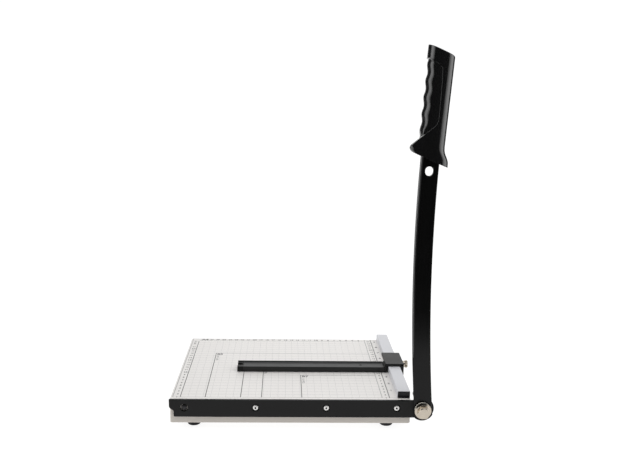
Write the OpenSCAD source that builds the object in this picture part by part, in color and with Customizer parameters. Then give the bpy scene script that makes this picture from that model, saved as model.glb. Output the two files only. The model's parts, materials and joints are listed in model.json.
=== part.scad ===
// Guillotine paper cutter: a sheet-steel table with a shear bar along its front edge,
// a long pivoted knife arm with a moulded handle, a side fence and a clamping back guide.
// X runs left to right along the cutting edge, Y from front to back, Z up from the bench.
// The origin is at the middle of the whole object's box, on the bench.

/* [Table] */
// Width of the table along the cutting edge
table_w = 321; // [300:1:340]
// Depth of the table from its front wall to its back wall
table_d = 248; // [230:1:270]
// Height of the table's folded walls
wall_h = 34; // [30:1:40]
// Thickness of the sheet steel
sheet_t = 1.2; // [1:0.1:2]
// Radius of the table's vertical corners
corner_r = 2.5; // [2:0.5:6]
// Width of the folded lips under the front and back walls
lip_w = 28; // [26:1:34]
// Width of the folded lips under the side walls
side_lip_w = 12; // [8:1:16]

/* [Feet] */
// Height of a rubber foot
foot_h = 8.5; // [7:0.5:12]
// Radius of a foot where it meets the table
foot_r = 9.5; // [8:0.5:10]
// Distance of the feet from the middle of the table, left and right
foot_x = 130.5; // [110:0.5:135]
// Distance of the front and back feet from the table's walls
foot_inset = 18; // [15:1:20]

/* [Shear bar] */
// Thickness of the shear bar
bar_t = 4; // [3:0.5:6]
// Height of the shear bar
bar_h = 24; // [22:1:28]
// Distance of the bar's screws, the lock hole and the pivot below the table top
bar_axis_drop = 11; // [10:0.5:12]
// Distance between neighbouring screws along the bar
screw_pitch = 94.2; // [90:0.1:96]
// Radius of the round lug that carries the pivot
lug_r = 16; // [15:0.5:18]
// Radius of the hole that the lock pin comes out of
lock_hole_r = 5.3; // [5:0.1:6]

/* [Knife arm] */
// Width of the arm
arm_w = 24; // [20:1:28]
// Thickness of the arm
arm_t = 3.5; // [3:0.1:4]
// Radius of the long curve of the cutting edge
arm_curve_r = 2390; // [2000:10:3000]
// Distance from the pivot to the middle of the oval eye in the arm
eye_reach = 318.4; // [318:0.1:318.8]
// Width of the oval eye, across the arm
eye_w = 10.3; // [10:0.1:11]
// Length of the oval eye, along the arm
eye_l = 11.9; // [11.5:0.1:13]
// Radius of the arm's rounded heel under the pivot
heel_r = 15.6; // [15:0.1:16]

/* [Handle] */
// Distance of the handle's reference point above the pivot
handle_rise = 341; // [340:0.5:345]
// Lean of the handle away from the table, in degrees
handle_lean = 4; // [3:0.5:5]
// Depth of the handle in front of the arm's back face
handle_front_d = 14.4; // [13:0.1:16]
// Depth of the handle behind the arm's back face
handle_back_d = 8.6; // [8:0.1:10]
// Height of the finger ridges
ridge_h = 0.8; // [0.4:0.1:1.2]
// Distance between neighbouring finger ridges
ridge_pitch = 20; // [18:0.5:22]
// Thickness of the soft grip
grip_t = 3; // [2.5:0.1:3.2]

/* [Fence] */
// Width of the side fence
fence_w = 17; // [15:0.5:18]
// Height of the side fence
fence_h = 9.5; // [8:0.5:10]
// Wall thickness of the fence channel
fence_t = 1.5; // [1:0.1:2]
// Distance from the bar's face to the front end of the fence
fence_front = 8.8; // [8:0.1:12]
// Length of the front plastic end cap outside the channel
cap_len = 1; // [0.8:0.1:8]

/* [Back guide] */
// Distance from the bar's face to the guide's front face
guide_y = 102.8; // [95:0.1:120]
// Length of the guide bar and its end piece, left of the fence
guide_len = 220.4; // [180:0.1:240]
// Depth of the guide bar, front to back
guide_d = 22.7; // [20:0.1:26]
// Height of the guide bar's top face above the table
guide_h = 8; // [7:0.1:9]
// Height of the rib along the back of the guide bar
rib_h = 1.1; // [0.8:0.1:3]
// Length of the sliding head along the fence
head_len = 49.2; // [44:0.1:54]
// Thickness of the sliding head's top
head_t = 3.7; // [3:0.1:5]
// Thickness of the sliding head's right-hand leg
leg_t = 4.5; // [4:0.1:6]
// Radius of the thumb screw's knurled head
knob_r = 5.6; // [5:0.1:7]

/* [Pivot] */
// Radius of the pivot bolt's shank
bolt_r = 5; // [4:0.5:5]
// Radius of the pivot bolt's flange
flange_r = 11.2; // [10:0.1:12]
// Distance across the flats of the pivot bolt's head
hex_af = 14.8; // [13:0.1:16]
// Radial play between the arm and the pivot bush
pivot_play = 0.05; // [0.02:0.01:0.1]

/* [Lock] */
// Radius of the lock pin
pin_r = 3.6; // [3:0.1:3.7]
// Length of the lock pin
pin_len = 48; // [44:1:60]
// Radius of the pull knob on the lock pin
pull_r = 7; // [6:0.5:8]

/* [Hidden] */
$fn = 96;

eps = 0.5;                  // overrun of a cutter past the face it opens
snug = 0.02;                // radial gap of a fastener in its own hole
face_gap = 0.05;            // gap between faces that slide or turn on each other

// Table
top_z = foot_h + wall_h;
table_x0 = -table_w / 2;
table_x1 = table_w / 2;
table_y0 = bar_t;
table_y1 = bar_t + table_d;

// Fasteners
m4_r = 2;
m4_head_r = 3.85;
m4_head_h = 2.4;
m4_socket_r = 1.45;
m4_nut_r = 4.04;            // over the corners
m4_nut_h = 3.2;
sink_r = 4.8;               // counterbore around a bar screw's head
sink_d = 2.6;
bar_screw_len = 12;

// Shear bar and pivot
axis_z = top_z - bar_axis_drop;
pivot_x = table_x1 + 14.6;
bar_x0 = table_x0 - 0.8;
lock_x = -1.5 * screw_pitch;
notch_w = 6.2;
notch_z = 12;               // height of the bar left above the notch
notch_slope = 4;
ear_r = 6.5;                // guide ear beside the root of the arm
ear_x = pivot_x - 6.5;
ear_z = top_z + 9.4;
bush_r = bolt_r + 1;

// Knife arm
arm_y1 = -0.1;              // back face of the arm, just clear of the bar
arm_y0 = arm_y1 - arm_t;
curve_rise = 216;           // middle of the edge's curve, above the pivot
arm_cx = pivot_x - 20.8 + arm_curve_r;
arm_cz = axis_z + curve_rise;
arm_top_z = axis_z + 451;
bevel_w = 3;
bevel_d = 2;
eye_back = 6.4;             // the eye is this far towards the table from the pivot
eye_x = pivot_x - eye_back;
eye_z = axis_z + sqrt(eye_reach * eye_reach - eye_back * eye_back);

// Handle, in its own axes: t across it towards the spine, s along it towards its end
handle_x = pivot_x - 3.1;
handle_z = axis_z + handle_rise;
spine_t = 13.4;
spine_low = [14.1, 6.3];
flare_top = [20.4, -9.9];
flare_tip = [20.6, -16.6];
mouth_slope = -0.337;
guard_tip = [-30.1, 4.6];
guard_top = [-29.5, 9.2];
guard_slope = 1.02;
finger_t = -18.4;
finger_s0 = 20;
finger_s1 = 112;
ridge_s = 47.4;             // a ridge's crest
ridge_steps = 38;
cap_t = -20.5;
cap_s0 = 114.5;
end_s = 131;
end_slope = -0.342;
body_inset = [0, 1.6, 4.2]; // the three steps that round the handle's edges
step_front = [4.9, 2.2];    // depth at which each outer step starts, from the front face
step_back = [5, 2.2];
handle_y0 = arm_y1 - handle_front_d;
handle_y1 = arm_y1 + handle_back_d;
rear_mouth_z = axis_z + 339; // the rear shell starts here, beyond the end of the table
tang_play = 0.1;
handle_screws = [[-2, 14], [4.5, 60], [3, 103]];
handle_screw_r = 2;

// Fence
fence_x1 = table_x1 - 0.5;
fence_x0 = fence_x1 - fence_w;
rail_y0 = fence_front + cap_len;
rear_flange = 0.8;  // the rear cap is a thin cover plate
rail_y1 = table_y1 - 1 - rear_flange;
cap_inset = 0.4;
cap_tongue = 22;
tongue_gap = 0.1;
fence_screw_inset = 12;

// Back guide
guide_x0 = fence_x0 - guide_len;
guide_z0 = top_z + 0.4;
guide_z1 = top_z + guide_h;
end_len = 9;
bar_end_x = fence_x0 - 6.8;  // where the guide bar meets the head
groove_y = [5.7, 16.7];
groove_depth = 0.5;
rib_t = 2.1;
tube_wall = 2;
tongue_len = 42;
head_x0 = fence_x0 - 4.4;
head_x1 = table_x1 + 0.7 + leg_t;
head_y0 = guide_y - 0.6;
head_y1 = head_y0 + head_len;
head_z0 = top_z + fence_h + 0.4;
head_z1 = head_z0 + head_t;
leg_z0 = top_z - 6;
leg_x0 = table_x1 + 0.7;
guide_screw_x = bar_end_x - 33;
guide_screw_r = 1.6;
guide_screw_head_r = 2.6;
guide_screw_head_h = 1.2;
clamp_y = (head_y0 + head_y1) / 2;
clamp_z = top_z + 4.7;
clamp_r = 2.45;             // thumb screw's thread
shoe_r = 4;
shoe_t = 1.5;
shoe_x0 = fence_x1 + face_gap;
pocket_depth = 1.7;
collar_r = 4.7;
collar_x0 = head_x1 + 1.8;
collar_len = 3.3;
knob_len = 3.8;

// Pivot stack, from the arm outwards
washer_t = 1;
washer_r = 10.5;
spring_len = 2.9;
spring_y1 = arm_y0 - face_gap - washer_t;
flange_y1 = spring_y1 - spring_len;
flange_t = 2;
bolt_head_h = 9.6;
rear_washer_t = 2;
rear_washer_r = 10;
pivot_nut_r = 9.24;
pivot_nut_h = 10;
bolt_tail = 2;              // thread that stands out of the nut

// Lock
pin_y0 = 0.2;               // the pin's domed nose is just behind the bar's face
dome_r = 5;
lock_bracket_w = 20;
bracket_t = 1.5;
bracket_y1 = 34;
bracket_top_len = 22;
bracket_drop = 20;
pull_len = 6;

// Middle of the whole object's box
handle_end_x = handle_x + spine_t * cos(handle_lean)
    + (end_s + end_slope * (spine_t - cap_t)) * sin(handle_lean);
bolt_face_y = flange_y1 - bolt_head_h;
mid_x = (bar_x0 + handle_end_x) / 2;
mid_y = (bolt_face_y + table_y1) / 2;

// ---------- Shared shapes ----------

module placed() {
    translate([-mid_x, -mid_y, 0]) children();
}

// A profile drawn in X and Z, extruded in depth from y0 to y1
module depth_slab(y0, y1) {
    translate([0, y1, 0]) rotate([90, 0, 0]) linear_extrude(y1 - y0) children();
}

// Round bars along each axis
module rod_x(x0, x1, y, z, r) {
    translate([x0, y, z]) rotate([0, 90, 0]) cylinder(r = r, h = x1 - x0);
}

module rod_y(y0, y1, x, z, r) {
    translate([x, y0, z]) rotate([-90, 0, 0]) cylinder(r = r, h = y1 - y0);
}

module rod_z(z0, z1, x, y, r) {
    translate([x, y, z0]) cylinder(r = r, h = z1 - z0);
}

module box(x0, x1, y0, y1, z0, z1) {
    translate([x0, y0, z0]) cube([x1 - x0, y1 - y0, z1 - z0]);
}

module hex_y(y0, y1, x, z, r, turn = 0) {
    translate([x, y0, z]) rotate([-90, 0, 0]) rotate([0, 0, turn]) cylinder(r = r, h = y1 - y0, $fn = 6);
}

module rounded_rect(x0, x1, y0, y1, r) {
    translate([x0 + r, y0]) square([x1 - x0 - 2 * r, y1 - y0]);
    translate([x0, y0 + r]) square([x1 - x0, y1 - y0 - 2 * r]);
    for (x = [x0 + r, x1 - r], y = [y0 + r, y1 - r]) translate([x, y]) circle(r);
}

// Button-head screw along Y, its head towards the front
module button_screw_y(x, z, y_seat, len) {
    difference() {
        union() {
            rod_y(y_seat - m4_head_h * 0.6, y_seat, x, z, m4_head_r);
            translate([x, y_seat - m4_head_h * 0.6, z]) rotate([90, 0, 0])
                cylinder(r1 = m4_head_r, r2 = m4_head_r * 0.6, h = m4_head_h * 0.4);
            rod_y(y_seat - eps, y_seat + len, x, z, m4_r);
        }
        hex_y(y_seat - m4_head_h - eps, y_seat - 0.8, x, z, m4_socket_r);
    }
}

// Pan-head screw along Z, its head below
module pan_screw_z(x, y, z_seat, len, r, head_r, head_h) {
    difference() {
        union() {
            rod_z(z_seat - head_h, z_seat, x, y, head_r);
            rod_z(z_seat - eps, z_seat + len, x, y, r);
        }
        for (a = [0, 90]) translate([x, y, z_seat - head_h - eps + 0.9]) rotate([0, 0, a])
            cube([head_r * 1.1, head_r * 0.25, 1.8], center = true);
    }
}

// ---------- Table, feet ----------

foot_places = [
    [-foot_x, table_y0 + foot_inset], [foot_x, table_y0 + foot_inset],
    [-foot_x, table_y1 - foot_inset], [foot_x, table_y1 - foot_inset]
];
foot_screw_r = 1.9;
foot_screw_head_r = 3.8;
foot_screw_head_h = 2.4;
foot_sink_r = 4.6;
foot_sink_d = 5;

module base_table() {
    color([0.80, 0.79, 0.76]) placed() difference() {
        translate([0, 0, foot_h]) linear_extrude(wall_h)
            rounded_rect(table_x0, table_x1, table_y0, table_y1, corner_r);
        translate([0, 0, foot_h + sheet_t]) linear_extrude(wall_h - 2 * sheet_t)
            rounded_rect(table_x0 + sheet_t, table_x1 - sheet_t,
                table_y0 + sheet_t, table_y1 - sheet_t, corner_r - sheet_t);
        box(table_x0 + side_lip_w, table_x1 - side_lip_w,
            table_y0 + lip_w, table_y1 - lip_w, foot_h - eps, foot_h + 2 * sheet_t);
        for (i = [0:2]) rod_y(table_y0 - eps, table_y0 + sheet_t + eps,
            (i - 0.5) * screw_pitch, axis_z, m4_r + snug);
        rod_y(table_y0 - eps, table_y0 + sheet_t + eps, lock_x, axis_z, pin_r + face_gap);
        for (y = fence_screw_ys) rod_z(top_z - sheet_t - eps, top_z + eps,
            (fence_x0 + fence_x1) / 2, y, m4_r + snug);
        for (p = foot_places) rod_z(foot_h - eps, foot_h + sheet_t + eps, p[0], p[1],
            foot_screw_r + snug);
    }
}

module foot(i) {
    p = foot_places[i];
    color([0.07, 0.07, 0.07]) placed() translate([p[0], p[1], 0]) rotate_extrude()
        polygon([
            [foot_screw_r + snug, foot_h], [foot_r, foot_h],
            [foot_r, foot_h - 5], [foot_r - 0.6, 1.4], [foot_r - 2.2, 0], [foot_sink_r, 0],
            [foot_sink_r, foot_sink_d], [foot_screw_r + snug, foot_sink_d]
        ]);
}

module foot_screw(i) {
    p = foot_places[i];
    color([0.75, 0.75, 0.76]) placed() pan_screw_z(p[0], p[1], foot_sink_d, foot_h - foot_sink_d + 4,
        foot_screw_r, foot_screw_head_r, foot_screw_head_h);
}

// ---------- Shear bar and its screws ----------

module shear_bar() {
    lower_z = top_z - bar_h;
    color([0.15, 0.15, 0.15]) placed() difference() {
        union() {
            depth_slab(0, bar_t) polygon([
                [bar_x0, top_z], [pivot_x, top_z], [pivot_x, lower_z], [bar_x0 + notch_w, lower_z],
                [bar_x0 + notch_w, top_z - notch_z - notch_slope], [bar_x0, top_z - notch_z]
            ]);
            rod_y(0, bar_t, pivot_x, axis_z, lug_r);
            rod_y(0, bar_t, ear_x, ear_z, ear_r);
            box(ear_x - 2, ear_x + ear_r, 0, bar_t, top_z - eps, ear_z);
        }
        for (i = [0:2]) {
            rod_y(-eps, bar_t + eps, (i - 0.5) * screw_pitch, axis_z, m4_r + snug);
            rod_y(-eps, sink_d, (i - 0.5) * screw_pitch, axis_z, sink_r);
        }
        rod_y(-eps, bar_t + eps, lock_x, axis_z, lock_hole_r);
        rod_y(-eps, bar_t + eps, pivot_x, axis_z, bush_r + snug);
    }
}

module bar_screw(i) {
    color([0.80, 0.80, 0.80]) placed()
        button_screw_y((i - 0.5) * screw_pitch, axis_z, sink_d, bar_screw_len - sink_d);
}

module bar_nut(i) {
    nut_y0 = table_y0 + sheet_t;
    color([0.75, 0.75, 0.76]) placed() difference() {
        hex_y(nut_y0, nut_y0 + m4_nut_h, (i - 0.5) * screw_pitch, axis_z, m4_nut_r);
        rod_y(nut_y0 - eps, nut_y0 + m4_nut_h + eps, (i - 0.5) * screw_pitch, axis_z, m4_r + snug);
    }
}

// ---------- Side fence ----------

fence_screw_ys = [rail_y0 + fence_screw_inset, rail_y1 - fence_screw_inset];

module fence_rail() {
    color([0.84, 0.84, 0.86]) placed() difference() {
        box(fence_x0, fence_x1, rail_y0, rail_y1, top_z, top_z + fence_h);
        box(fence_x0 + fence_t, fence_x1 - fence_t, rail_y0 - eps, rail_y1 + eps,
            top_z - eps, top_z + fence_h - fence_t);
    }
}

// End cap with a tongue inside the channel; dir is 1 for a tongue that points backwards
module fence_cap(y_out, y_in, dir) {
    tongue = y_in + dir * cap_tongue;
    screw_y = y_in + dir * fence_screw_inset;
    color([0.06, 0.06, 0.07]) placed() difference() {
        union() {
            box(fence_x0 + cap_inset, fence_x1 - cap_inset, min(y_out, y_in), max(y_out, y_in),
                top_z, top_z + fence_h - cap_inset);
            box(fence_x0 + fence_t + tongue_gap, fence_x1 - fence_t - tongue_gap,
                min(y_in, tongue), max(y_in, tongue), top_z, top_z + fence_h - fence_t - tongue_gap);
        }
        rod_z(top_z - eps, top_z + 6.5, (fence_x0 + fence_x1) / 2, screw_y, m4_r + snug);
    }
}

module fence_screw(i) {
    color([0.75, 0.75, 0.76]) placed() pan_screw_z((fence_x0 + fence_x1) / 2, fence_screw_ys[i],
        top_z - sheet_t, sheet_t + 6, m4_r, m4_head_r, m4_head_h);
}

// ---------- Back guide ----------

// The guide bar's section in Y and Z, with its shallow groove and rear rib
guide_section = [
    [guide_y, guide_z0], [guide_y, guide_z1 - 0.6], [guide_y + 0.6, guide_z1],
    [guide_y + groove_y[0], guide_z1], [guide_y + groove_y[0] + 0.5, guide_z1 - groove_depth],
    [guide_y + groove_y[1] - 0.5, guide_z1 - groove_depth], [guide_y + groove_y[1], guide_z1],
    [guide_y + guide_d - rib_t, guide_z1], [guide_y + guide_d - rib_t, guide_z1 + rib_h],
    [guide_y + guide_d, guide_z1 + rib_h], [guide_y + guide_d, guide_z0]
];
tube_y0 = guide_y + tube_wall;
tube_y1 = guide_y + guide_d - tube_wall;
tube_z0 = guide_z0 + 1.4;
tube_z1 = guide_z1 - groove_depth - 1.2;

module along_x(x0, x1) {
    translate([x0, 0, 0]) rotate([90, 0, 90]) linear_extrude(x1 - x0) children();
}

module guide_bar() {
    color([0.36, 0.36, 0.37]) placed() difference() {
        along_x(guide_x0 + end_len, bar_end_x) polygon(guide_section);
        box(guide_x0, bar_end_x + eps, tube_y0, tube_y1, tube_z0, tube_z1);
        rod_z(tube_z1 - eps, guide_z1 + eps, guide_screw_x, (tube_y0 + tube_y1) / 2,
            guide_screw_r + snug);
        rod_z(guide_z1 - groove_depth - guide_screw_head_h + 0.4, guide_z1 + eps, guide_screw_x,
            (tube_y0 + tube_y1) / 2, guide_screw_head_r + 0.3);
    }
}

module guide_end_piece() {
    dimple_r = 4.2;
    color([0.10, 0.10, 0.10]) placed() {
        difference() {
            along_x(guide_x0, guide_x0 + end_len) polygon(guide_section);
            rod_z(guide_z1 - 1.6, guide_z1 + eps, guide_x0, (tube_y0 + tube_y1) / 2, dimple_r);
        }
        box(guide_x0 + end_len, guide_x0 + end_len + 12, tube_y0 + tongue_gap, tube_y1 - tongue_gap,
            tube_z0 + tongue_gap, tube_z1 - tongue_gap);
    }
}

module guide_head() {
    inner_x = fence_x0 - 0.4;
    color([0.30, 0.30, 0.30]) placed() difference() {
        union() {
            box(head_x0, head_x1, head_y0, head_y1, head_z0, head_z1);
            box(leg_x0, head_x1, head_y0, head_y1, leg_z0, head_z0);
            depth_slab(guide_y, guide_y + guide_d) polygon([
                [bar_end_x, guide_z0], [inner_x, guide_z0], [inner_x, head_z0],
                [head_x0, head_z0 + 0.2], [bar_end_x, guide_z1]
            ]);
            box(bar_end_x - tongue_len, bar_end_x + eps, tube_y0 + tongue_gap, tube_y1 - tongue_gap,
                tube_z0 + tongue_gap, tube_z1 - tongue_gap);
        }
        rod_x(leg_x0 - eps, head_x1 + eps, clamp_y, clamp_z, clamp_r + face_gap);
        rod_x(leg_x0 - eps, leg_x0 + pocket_depth, clamp_y, clamp_z, shoe_r + 0.3);
        rod_z(tube_z0 + 0.8, tube_z1 + eps, guide_screw_x, (tube_y0 + tube_y1) / 2,
            guide_screw_r + snug);
    }
}

module guide_screw() {
    seat = guide_z1 - groove_depth - guide_screw_head_h + 0.4;
    y = (tube_y0 + tube_y1) / 2;
    color([0.12, 0.12, 0.12]) placed() difference() {
        union() {
            rod_z(seat, seat + guide_screw_head_h, guide_screw_x, y, guide_screw_head_r);
            rod_z(tube_z0 + 1, seat + eps, guide_screw_x, y, guide_screw_r);
        }
        for (a = [0, 90]) translate([guide_screw_x, y, seat + guide_screw_head_h]) rotate([0, 0, a])
            cube([guide_screw_head_r * 1.2, 0.7, 1.2], center = true);
    }
}

module clamp_shoe() {
    color([0.85, 0.84, 0.78]) placed() rod_x(shoe_x0, shoe_x0 + shoe_t, clamp_y, clamp_z, shoe_r);
}

module thumb_screw() {
    tip_x = shoe_x0 + shoe_t + face_gap;
    knob_x0 = collar_x0 + collar_len;
    color([0.72, 0.69, 0.62]) placed() {
        rod_x(tip_x, collar_x0 + eps, clamp_y, clamp_z, clamp_r);
        rod_x(collar_x0, knob_x0 + eps, clamp_y, clamp_z, collar_r);
        rod_x(knob_x0, knob_x0 + knob_len, clamp_y, clamp_z, knob_r);
    }
}

// ---------- Knife arm ----------

module arm_outline() {
    difference() {
        intersection() {
            difference() {
                translate([arm_cx, arm_cz]) circle(arm_curve_r, $fn = 720);
                translate([arm_cx, arm_cz]) circle(arm_curve_r - arm_w, $fn = 720);
            }
            union() {
                translate([pivot_x - 60, axis_z]) square([120, arm_top_z - axis_z]);
                translate([pivot_x, axis_z]) circle(heel_r);
            }
        }
        translate([pivot_x, axis_z]) circle(bush_r + pivot_play);
        for (s = [-1, 1]) translate([eye_x, eye_z + s * (eye_l - eye_w) / 2]) circle(eye_w / 2);
        translate([eye_x - eye_w / 2, eye_z - (eye_l - eye_w) / 2]) square([eye_w, eye_l - eye_w]);
        for (p = handle_screws) translate(handle_point(p)) circle(handle_screw_r + snug);
    }
}

// The arm, with its cutting edge ground to a bevel along the curve
module blade_arm() {
    r_out = arm_curve_r + eps;
    r_in = arm_curve_r - bevel_w;
    slope = bevel_d / bevel_w;
    color([0.16, 0.16, 0.16]) placed() difference() {
        depth_slab(arm_y0, arm_y1) arm_outline();
        translate([arm_cx, arm_y0, arm_cz]) rotate([-90, 0, 0]) rotate_extrude($fn = 720) polygon([
            [r_in - eps / slope, -eps], [r_out, -eps], [r_out, (r_out - r_in) * slope], [r_in, 0]
        ]);
    }
}

// ---------- Handle ----------

function handle_point(p) = [
    handle_x + p[0] * cos(handle_lean) + p[1] * sin(handle_lean),
    handle_z - p[0] * sin(handle_lean) + p[1] * cos(handle_lean)
];

function finger_edge(s) = finger_t - ridge_h * cos(360 * (s - ridge_s) / ridge_pitch);

// The handle's side view, moved in by d from every edge
function handle_outline(d) = concat(
    [for (t = [cap_t + d, spine_t - d]) [t, end_s + end_slope * (t - cap_t) - 1.06 * d]],
    [
        [spine_low[0] - d, spine_low[1]],
        [flare_top[0] - d, flare_top[1]],
        [flare_tip[0] - d, flare_tip[1] + 1.06 * d - mouth_slope * d],
        [guard_tip[0] + 3.5, flare_tip[1] + mouth_slope * (guard_tip[0] + 3.5 - flare_tip[0]) + 1.06 * d],
        [guard_tip[0] + d, guard_tip[1] + 0.6 * d],
        [guard_top[0] + d, guard_top[1] + guard_slope * d - 1.43 * d]
    ],
    [for (i = [0:ridge_steps])
        let (s = finger_s0 + (finger_s1 - finger_s0) * i / ridge_steps) [
            finger_edge(s) + d,
            i == 0 ? guard_top[1] + guard_slope * (finger_edge(s) + d - guard_top[0]) - 1.43 * d : s
        ]],
    [[cap_t + d, cap_s0]]
);

// The part of the side view that the soft grip covers, run past the finger edge
grip_area = [
    [-26, finger_s1 + 2], [-19, finger_s1], [-6, 108.5], [-3.2, 107], [-2.2, 103.5], [-1, 84],
    [0.4, 43], [-1.2, 36], [-6.7, 30], [finger_t, 19.6], [-26, 13]
];

module handle_axes() {
    translate([handle_x, handle_z]) rotate(-handle_lean) children();
}

module handle_body() {
    steps = [
        [handle_y0, handle_y0 + step_front[1], 2],
        [handle_y0 + step_front[1], handle_y0 + step_front[0], 1],
        [handle_y0 + step_front[0], handle_y1 - step_back[0], 0],
        [handle_y1 - step_back[0], handle_y1 - step_back[1], 1],
        [handle_y1 - step_back[1], handle_y1, 2]
    ];
    for (s = steps) depth_slab(s[0], s[1]) handle_axes() polygon(handle_outline(body_inset[s[2]]));
}

// The space inside the handle that the soft grip leaves for the two hard shells
module grip_core() {
    depth_slab(handle_y0 + grip_t, handle_y1 - grip_t) handle_axes()
        translate([finger_t + grip_t, 0]) square([60, end_s]);
}

module grip_prism() {
    depth_slab(handle_y0 - eps, handle_y1 + eps) handle_axes() polygon(grip_area);
}

module grip_insert() {
    color([0.05, 0.05, 0.05]) placed() difference() {
        intersection() {
            handle_body();
            grip_prism();
        }
        grip_core();
    }
}

module handle_screw_holes(y0, y1, r) {
    for (p = handle_screws) rod_y(y0, y1, handle_point(p)[0], handle_point(p)[1], r);
}

module handle_front_shell() {
    color([0.07, 0.07, 0.07]) placed() difference() {
        handle_body();
        box(pivot_x - 80, pivot_x + 80, arm_y1, handle_y1 + eps, axis_z, axis_z + 600);
        depth_slab(arm_y0 - tang_play, arm_y1 + eps) intersection() {
            difference() {
                translate([arm_cx, arm_cz]) circle(arm_curve_r + tang_play, $fn = 720);
                translate([arm_cx, arm_cz]) circle(arm_curve_r - arm_w - tang_play, $fn = 720);
            }
            translate([pivot_x - 60, axis_z]) square([120, arm_top_z + tang_play - axis_z]);
        }
        difference() {
            grip_prism();
            grip_core();
        }
        handle_screw_holes(arm_y0 - 6.5, arm_y1, handle_screw_r + snug);
    }
}

module handle_rear_shell() {
    color([0.07, 0.07, 0.07]) placed() difference() {
        handle_body();
        box(pivot_x - 80, pivot_x + 80, handle_y0 - eps, arm_y1, axis_z, axis_z + 600);
        box(pivot_x - 80, pivot_x + 80, handle_y0 - eps, handle_y1 + eps, axis_z, rear_mouth_z);
        difference() {
            grip_prism();
            grip_core();
        }
        handle_screw_holes(arm_y1 - eps, handle_y1 + eps, handle_screw_r + snug);
        handle_screw_holes(handle_y1 - grip_t - 2, handle_y1 + eps, m4_head_r + 0.2);
    }
}

module handle_screw(i) {
    p = handle_point(handle_screws[i]);
    seat = handle_y1 - grip_t - 2;
    color([0.72, 0.72, 0.73]) placed() difference() {
        union() {
            rod_y(seat, seat + m4_head_h, p[0], p[1], m4_head_r);
            rod_y(arm_y0 - 6, seat + eps, p[0], p[1], handle_screw_r);
        }
        for (a = [0, 90]) translate([p[0], seat + m4_head_h, p[1]]) rotate([0, a, 0])
            cube([m4_head_r * 1.1, 2, 0.9], center = true);
    }
}

// ---------- Pivot ----------

module pivot_bolt() {
    hex_r = hex_af / 2 / cos(30);
    tail_y = bar_t + rear_washer_t + pivot_nut_h + bolt_tail;
    color([0.76, 0.72, 0.66]) placed() {
        rod_y(flange_y1 - 0.8, flange_y1, pivot_x, axis_z, flange_r);
        translate([pivot_x, flange_y1 - 0.8, axis_z]) rotate([90, 0, 0])
            cylinder(r1 = flange_r, r2 = hex_r + 0.2, h = flange_t - 0.8);
        intersection() {
            hex_y(bolt_face_y, flange_y1 - 0.8, pivot_x, axis_z, hex_r);
            translate([pivot_x, bolt_face_y, axis_z]) rotate([-90, 0, 0])
                cylinder(r1 = hex_af / 2, r2 = hex_af / 2 + bolt_head_h * 2, h = bolt_head_h);
        }
        rod_y(flange_y1 - eps, tail_y, pivot_x, axis_z, bolt_r);
    }
}

module ring_y(y0, y1, r_in, r_out) {
    difference() {
        rod_y(y0, y1, pivot_x, axis_z, r_out);
        rod_y(y0 - eps, y1 + eps, pivot_x, axis_z, r_in);
    }
}

module pivot_bush() {
    color([0.62, 0.48, 0.28]) placed() ring_y(arm_y0 - face_gap, bar_t, bolt_r + snug, bush_r);
}

module friction_washer() {
    color([0.90, 0.89, 0.84]) placed() ring_y(spring_y1, arm_y0 - face_gap, bush_r + snug, washer_r);
}

// Two cupped spring washers, back to back
module spring_washer() {
    half = spring_len / 2;
    rim = 1.1;
    color([0.55, 0.55, 0.56]) placed() translate([pivot_x, flange_y1, axis_z]) rotate([-90, 0, 0])
        rotate_extrude() polygon([
            [bolt_r + 0.1, 0], [bolt_r + 2, 0], [washer_r - 0.5, half - rim / 2],
            [washer_r - 0.5, half + rim / 2], [bolt_r + 2, spring_len], [bolt_r + 0.1, spring_len]
        ]);
}

module rear_washer() {
    color([0.70, 0.70, 0.71]) placed()
        ring_y(bar_t, bar_t + rear_washer_t, bolt_r + snug, rear_washer_r);
}

module pivot_nut() {
    nut_y0 = bar_t + rear_washer_t;
    color([0.70, 0.70, 0.71]) placed() difference() {
        union() {
            hex_y(nut_y0, nut_y0 + pivot_nut_h - 2.5, pivot_x, axis_z, pivot_nut_r);
            rod_y(nut_y0, nut_y0 + pivot_nut_h, pivot_x, axis_z, 7.4);
        }
        rod_y(nut_y0 - eps, nut_y0 + pivot_nut_h + eps, pivot_x, axis_z, bolt_r + snug);
    }
}

// ---------- Lock ----------

module lock_pin() {
    color([0.78, 0.77, 0.74]) placed() intersection() {
        rod_y(pin_y0, pin_y0 + pin_len, lock_x, axis_z, pin_r);
        union() {
            translate([lock_x, pin_y0 + dome_r, axis_z]) sphere(dome_r);
            rod_y(pin_y0 + dome_r, pin_y0 + pin_len, lock_x, axis_z, pin_r);
        }
    }
}

module lock_knob() {
    knob_y1 = pin_y0 + pin_len;
    color([0.08, 0.08, 0.08]) placed() difference() {
        union() {
            rod_y(knob_y1 - pull_len, knob_y1 + 1.5, lock_x, axis_z, pull_r);
            rod_y(knob_y1 - pull_len - 2, knob_y1, lock_x, axis_z, pull_r - 2);
        }
        rod_y(knob_y1 - pull_len - 2 - eps, knob_y1, lock_x, axis_z, pin_r + snug);
    }
}

// Folded bracket, spot-welded under the table top, that carries the back of the pin
module lock_bracket() {
    under = top_z - sheet_t;
    color([0.70, 0.70, 0.70]) placed() difference() {
        union() {
            box(lock_x - lock_bracket_w / 2, lock_x + lock_bracket_w / 2,
                bracket_y1 - bracket_top_len, bracket_y1, under - bracket_t, under);
            box(lock_x - lock_bracket_w / 2, lock_x + lock_bracket_w / 2,
                bracket_y1 - bracket_t, bracket_y1, under - bracket_drop, under - bracket_t);
        }
        rod_y(bracket_y1 - bracket_t - eps, bracket_y1 + eps, lock_x, axis_z, pin_r + face_gap);
    }
}

// ---------- Assembly ----------

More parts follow.
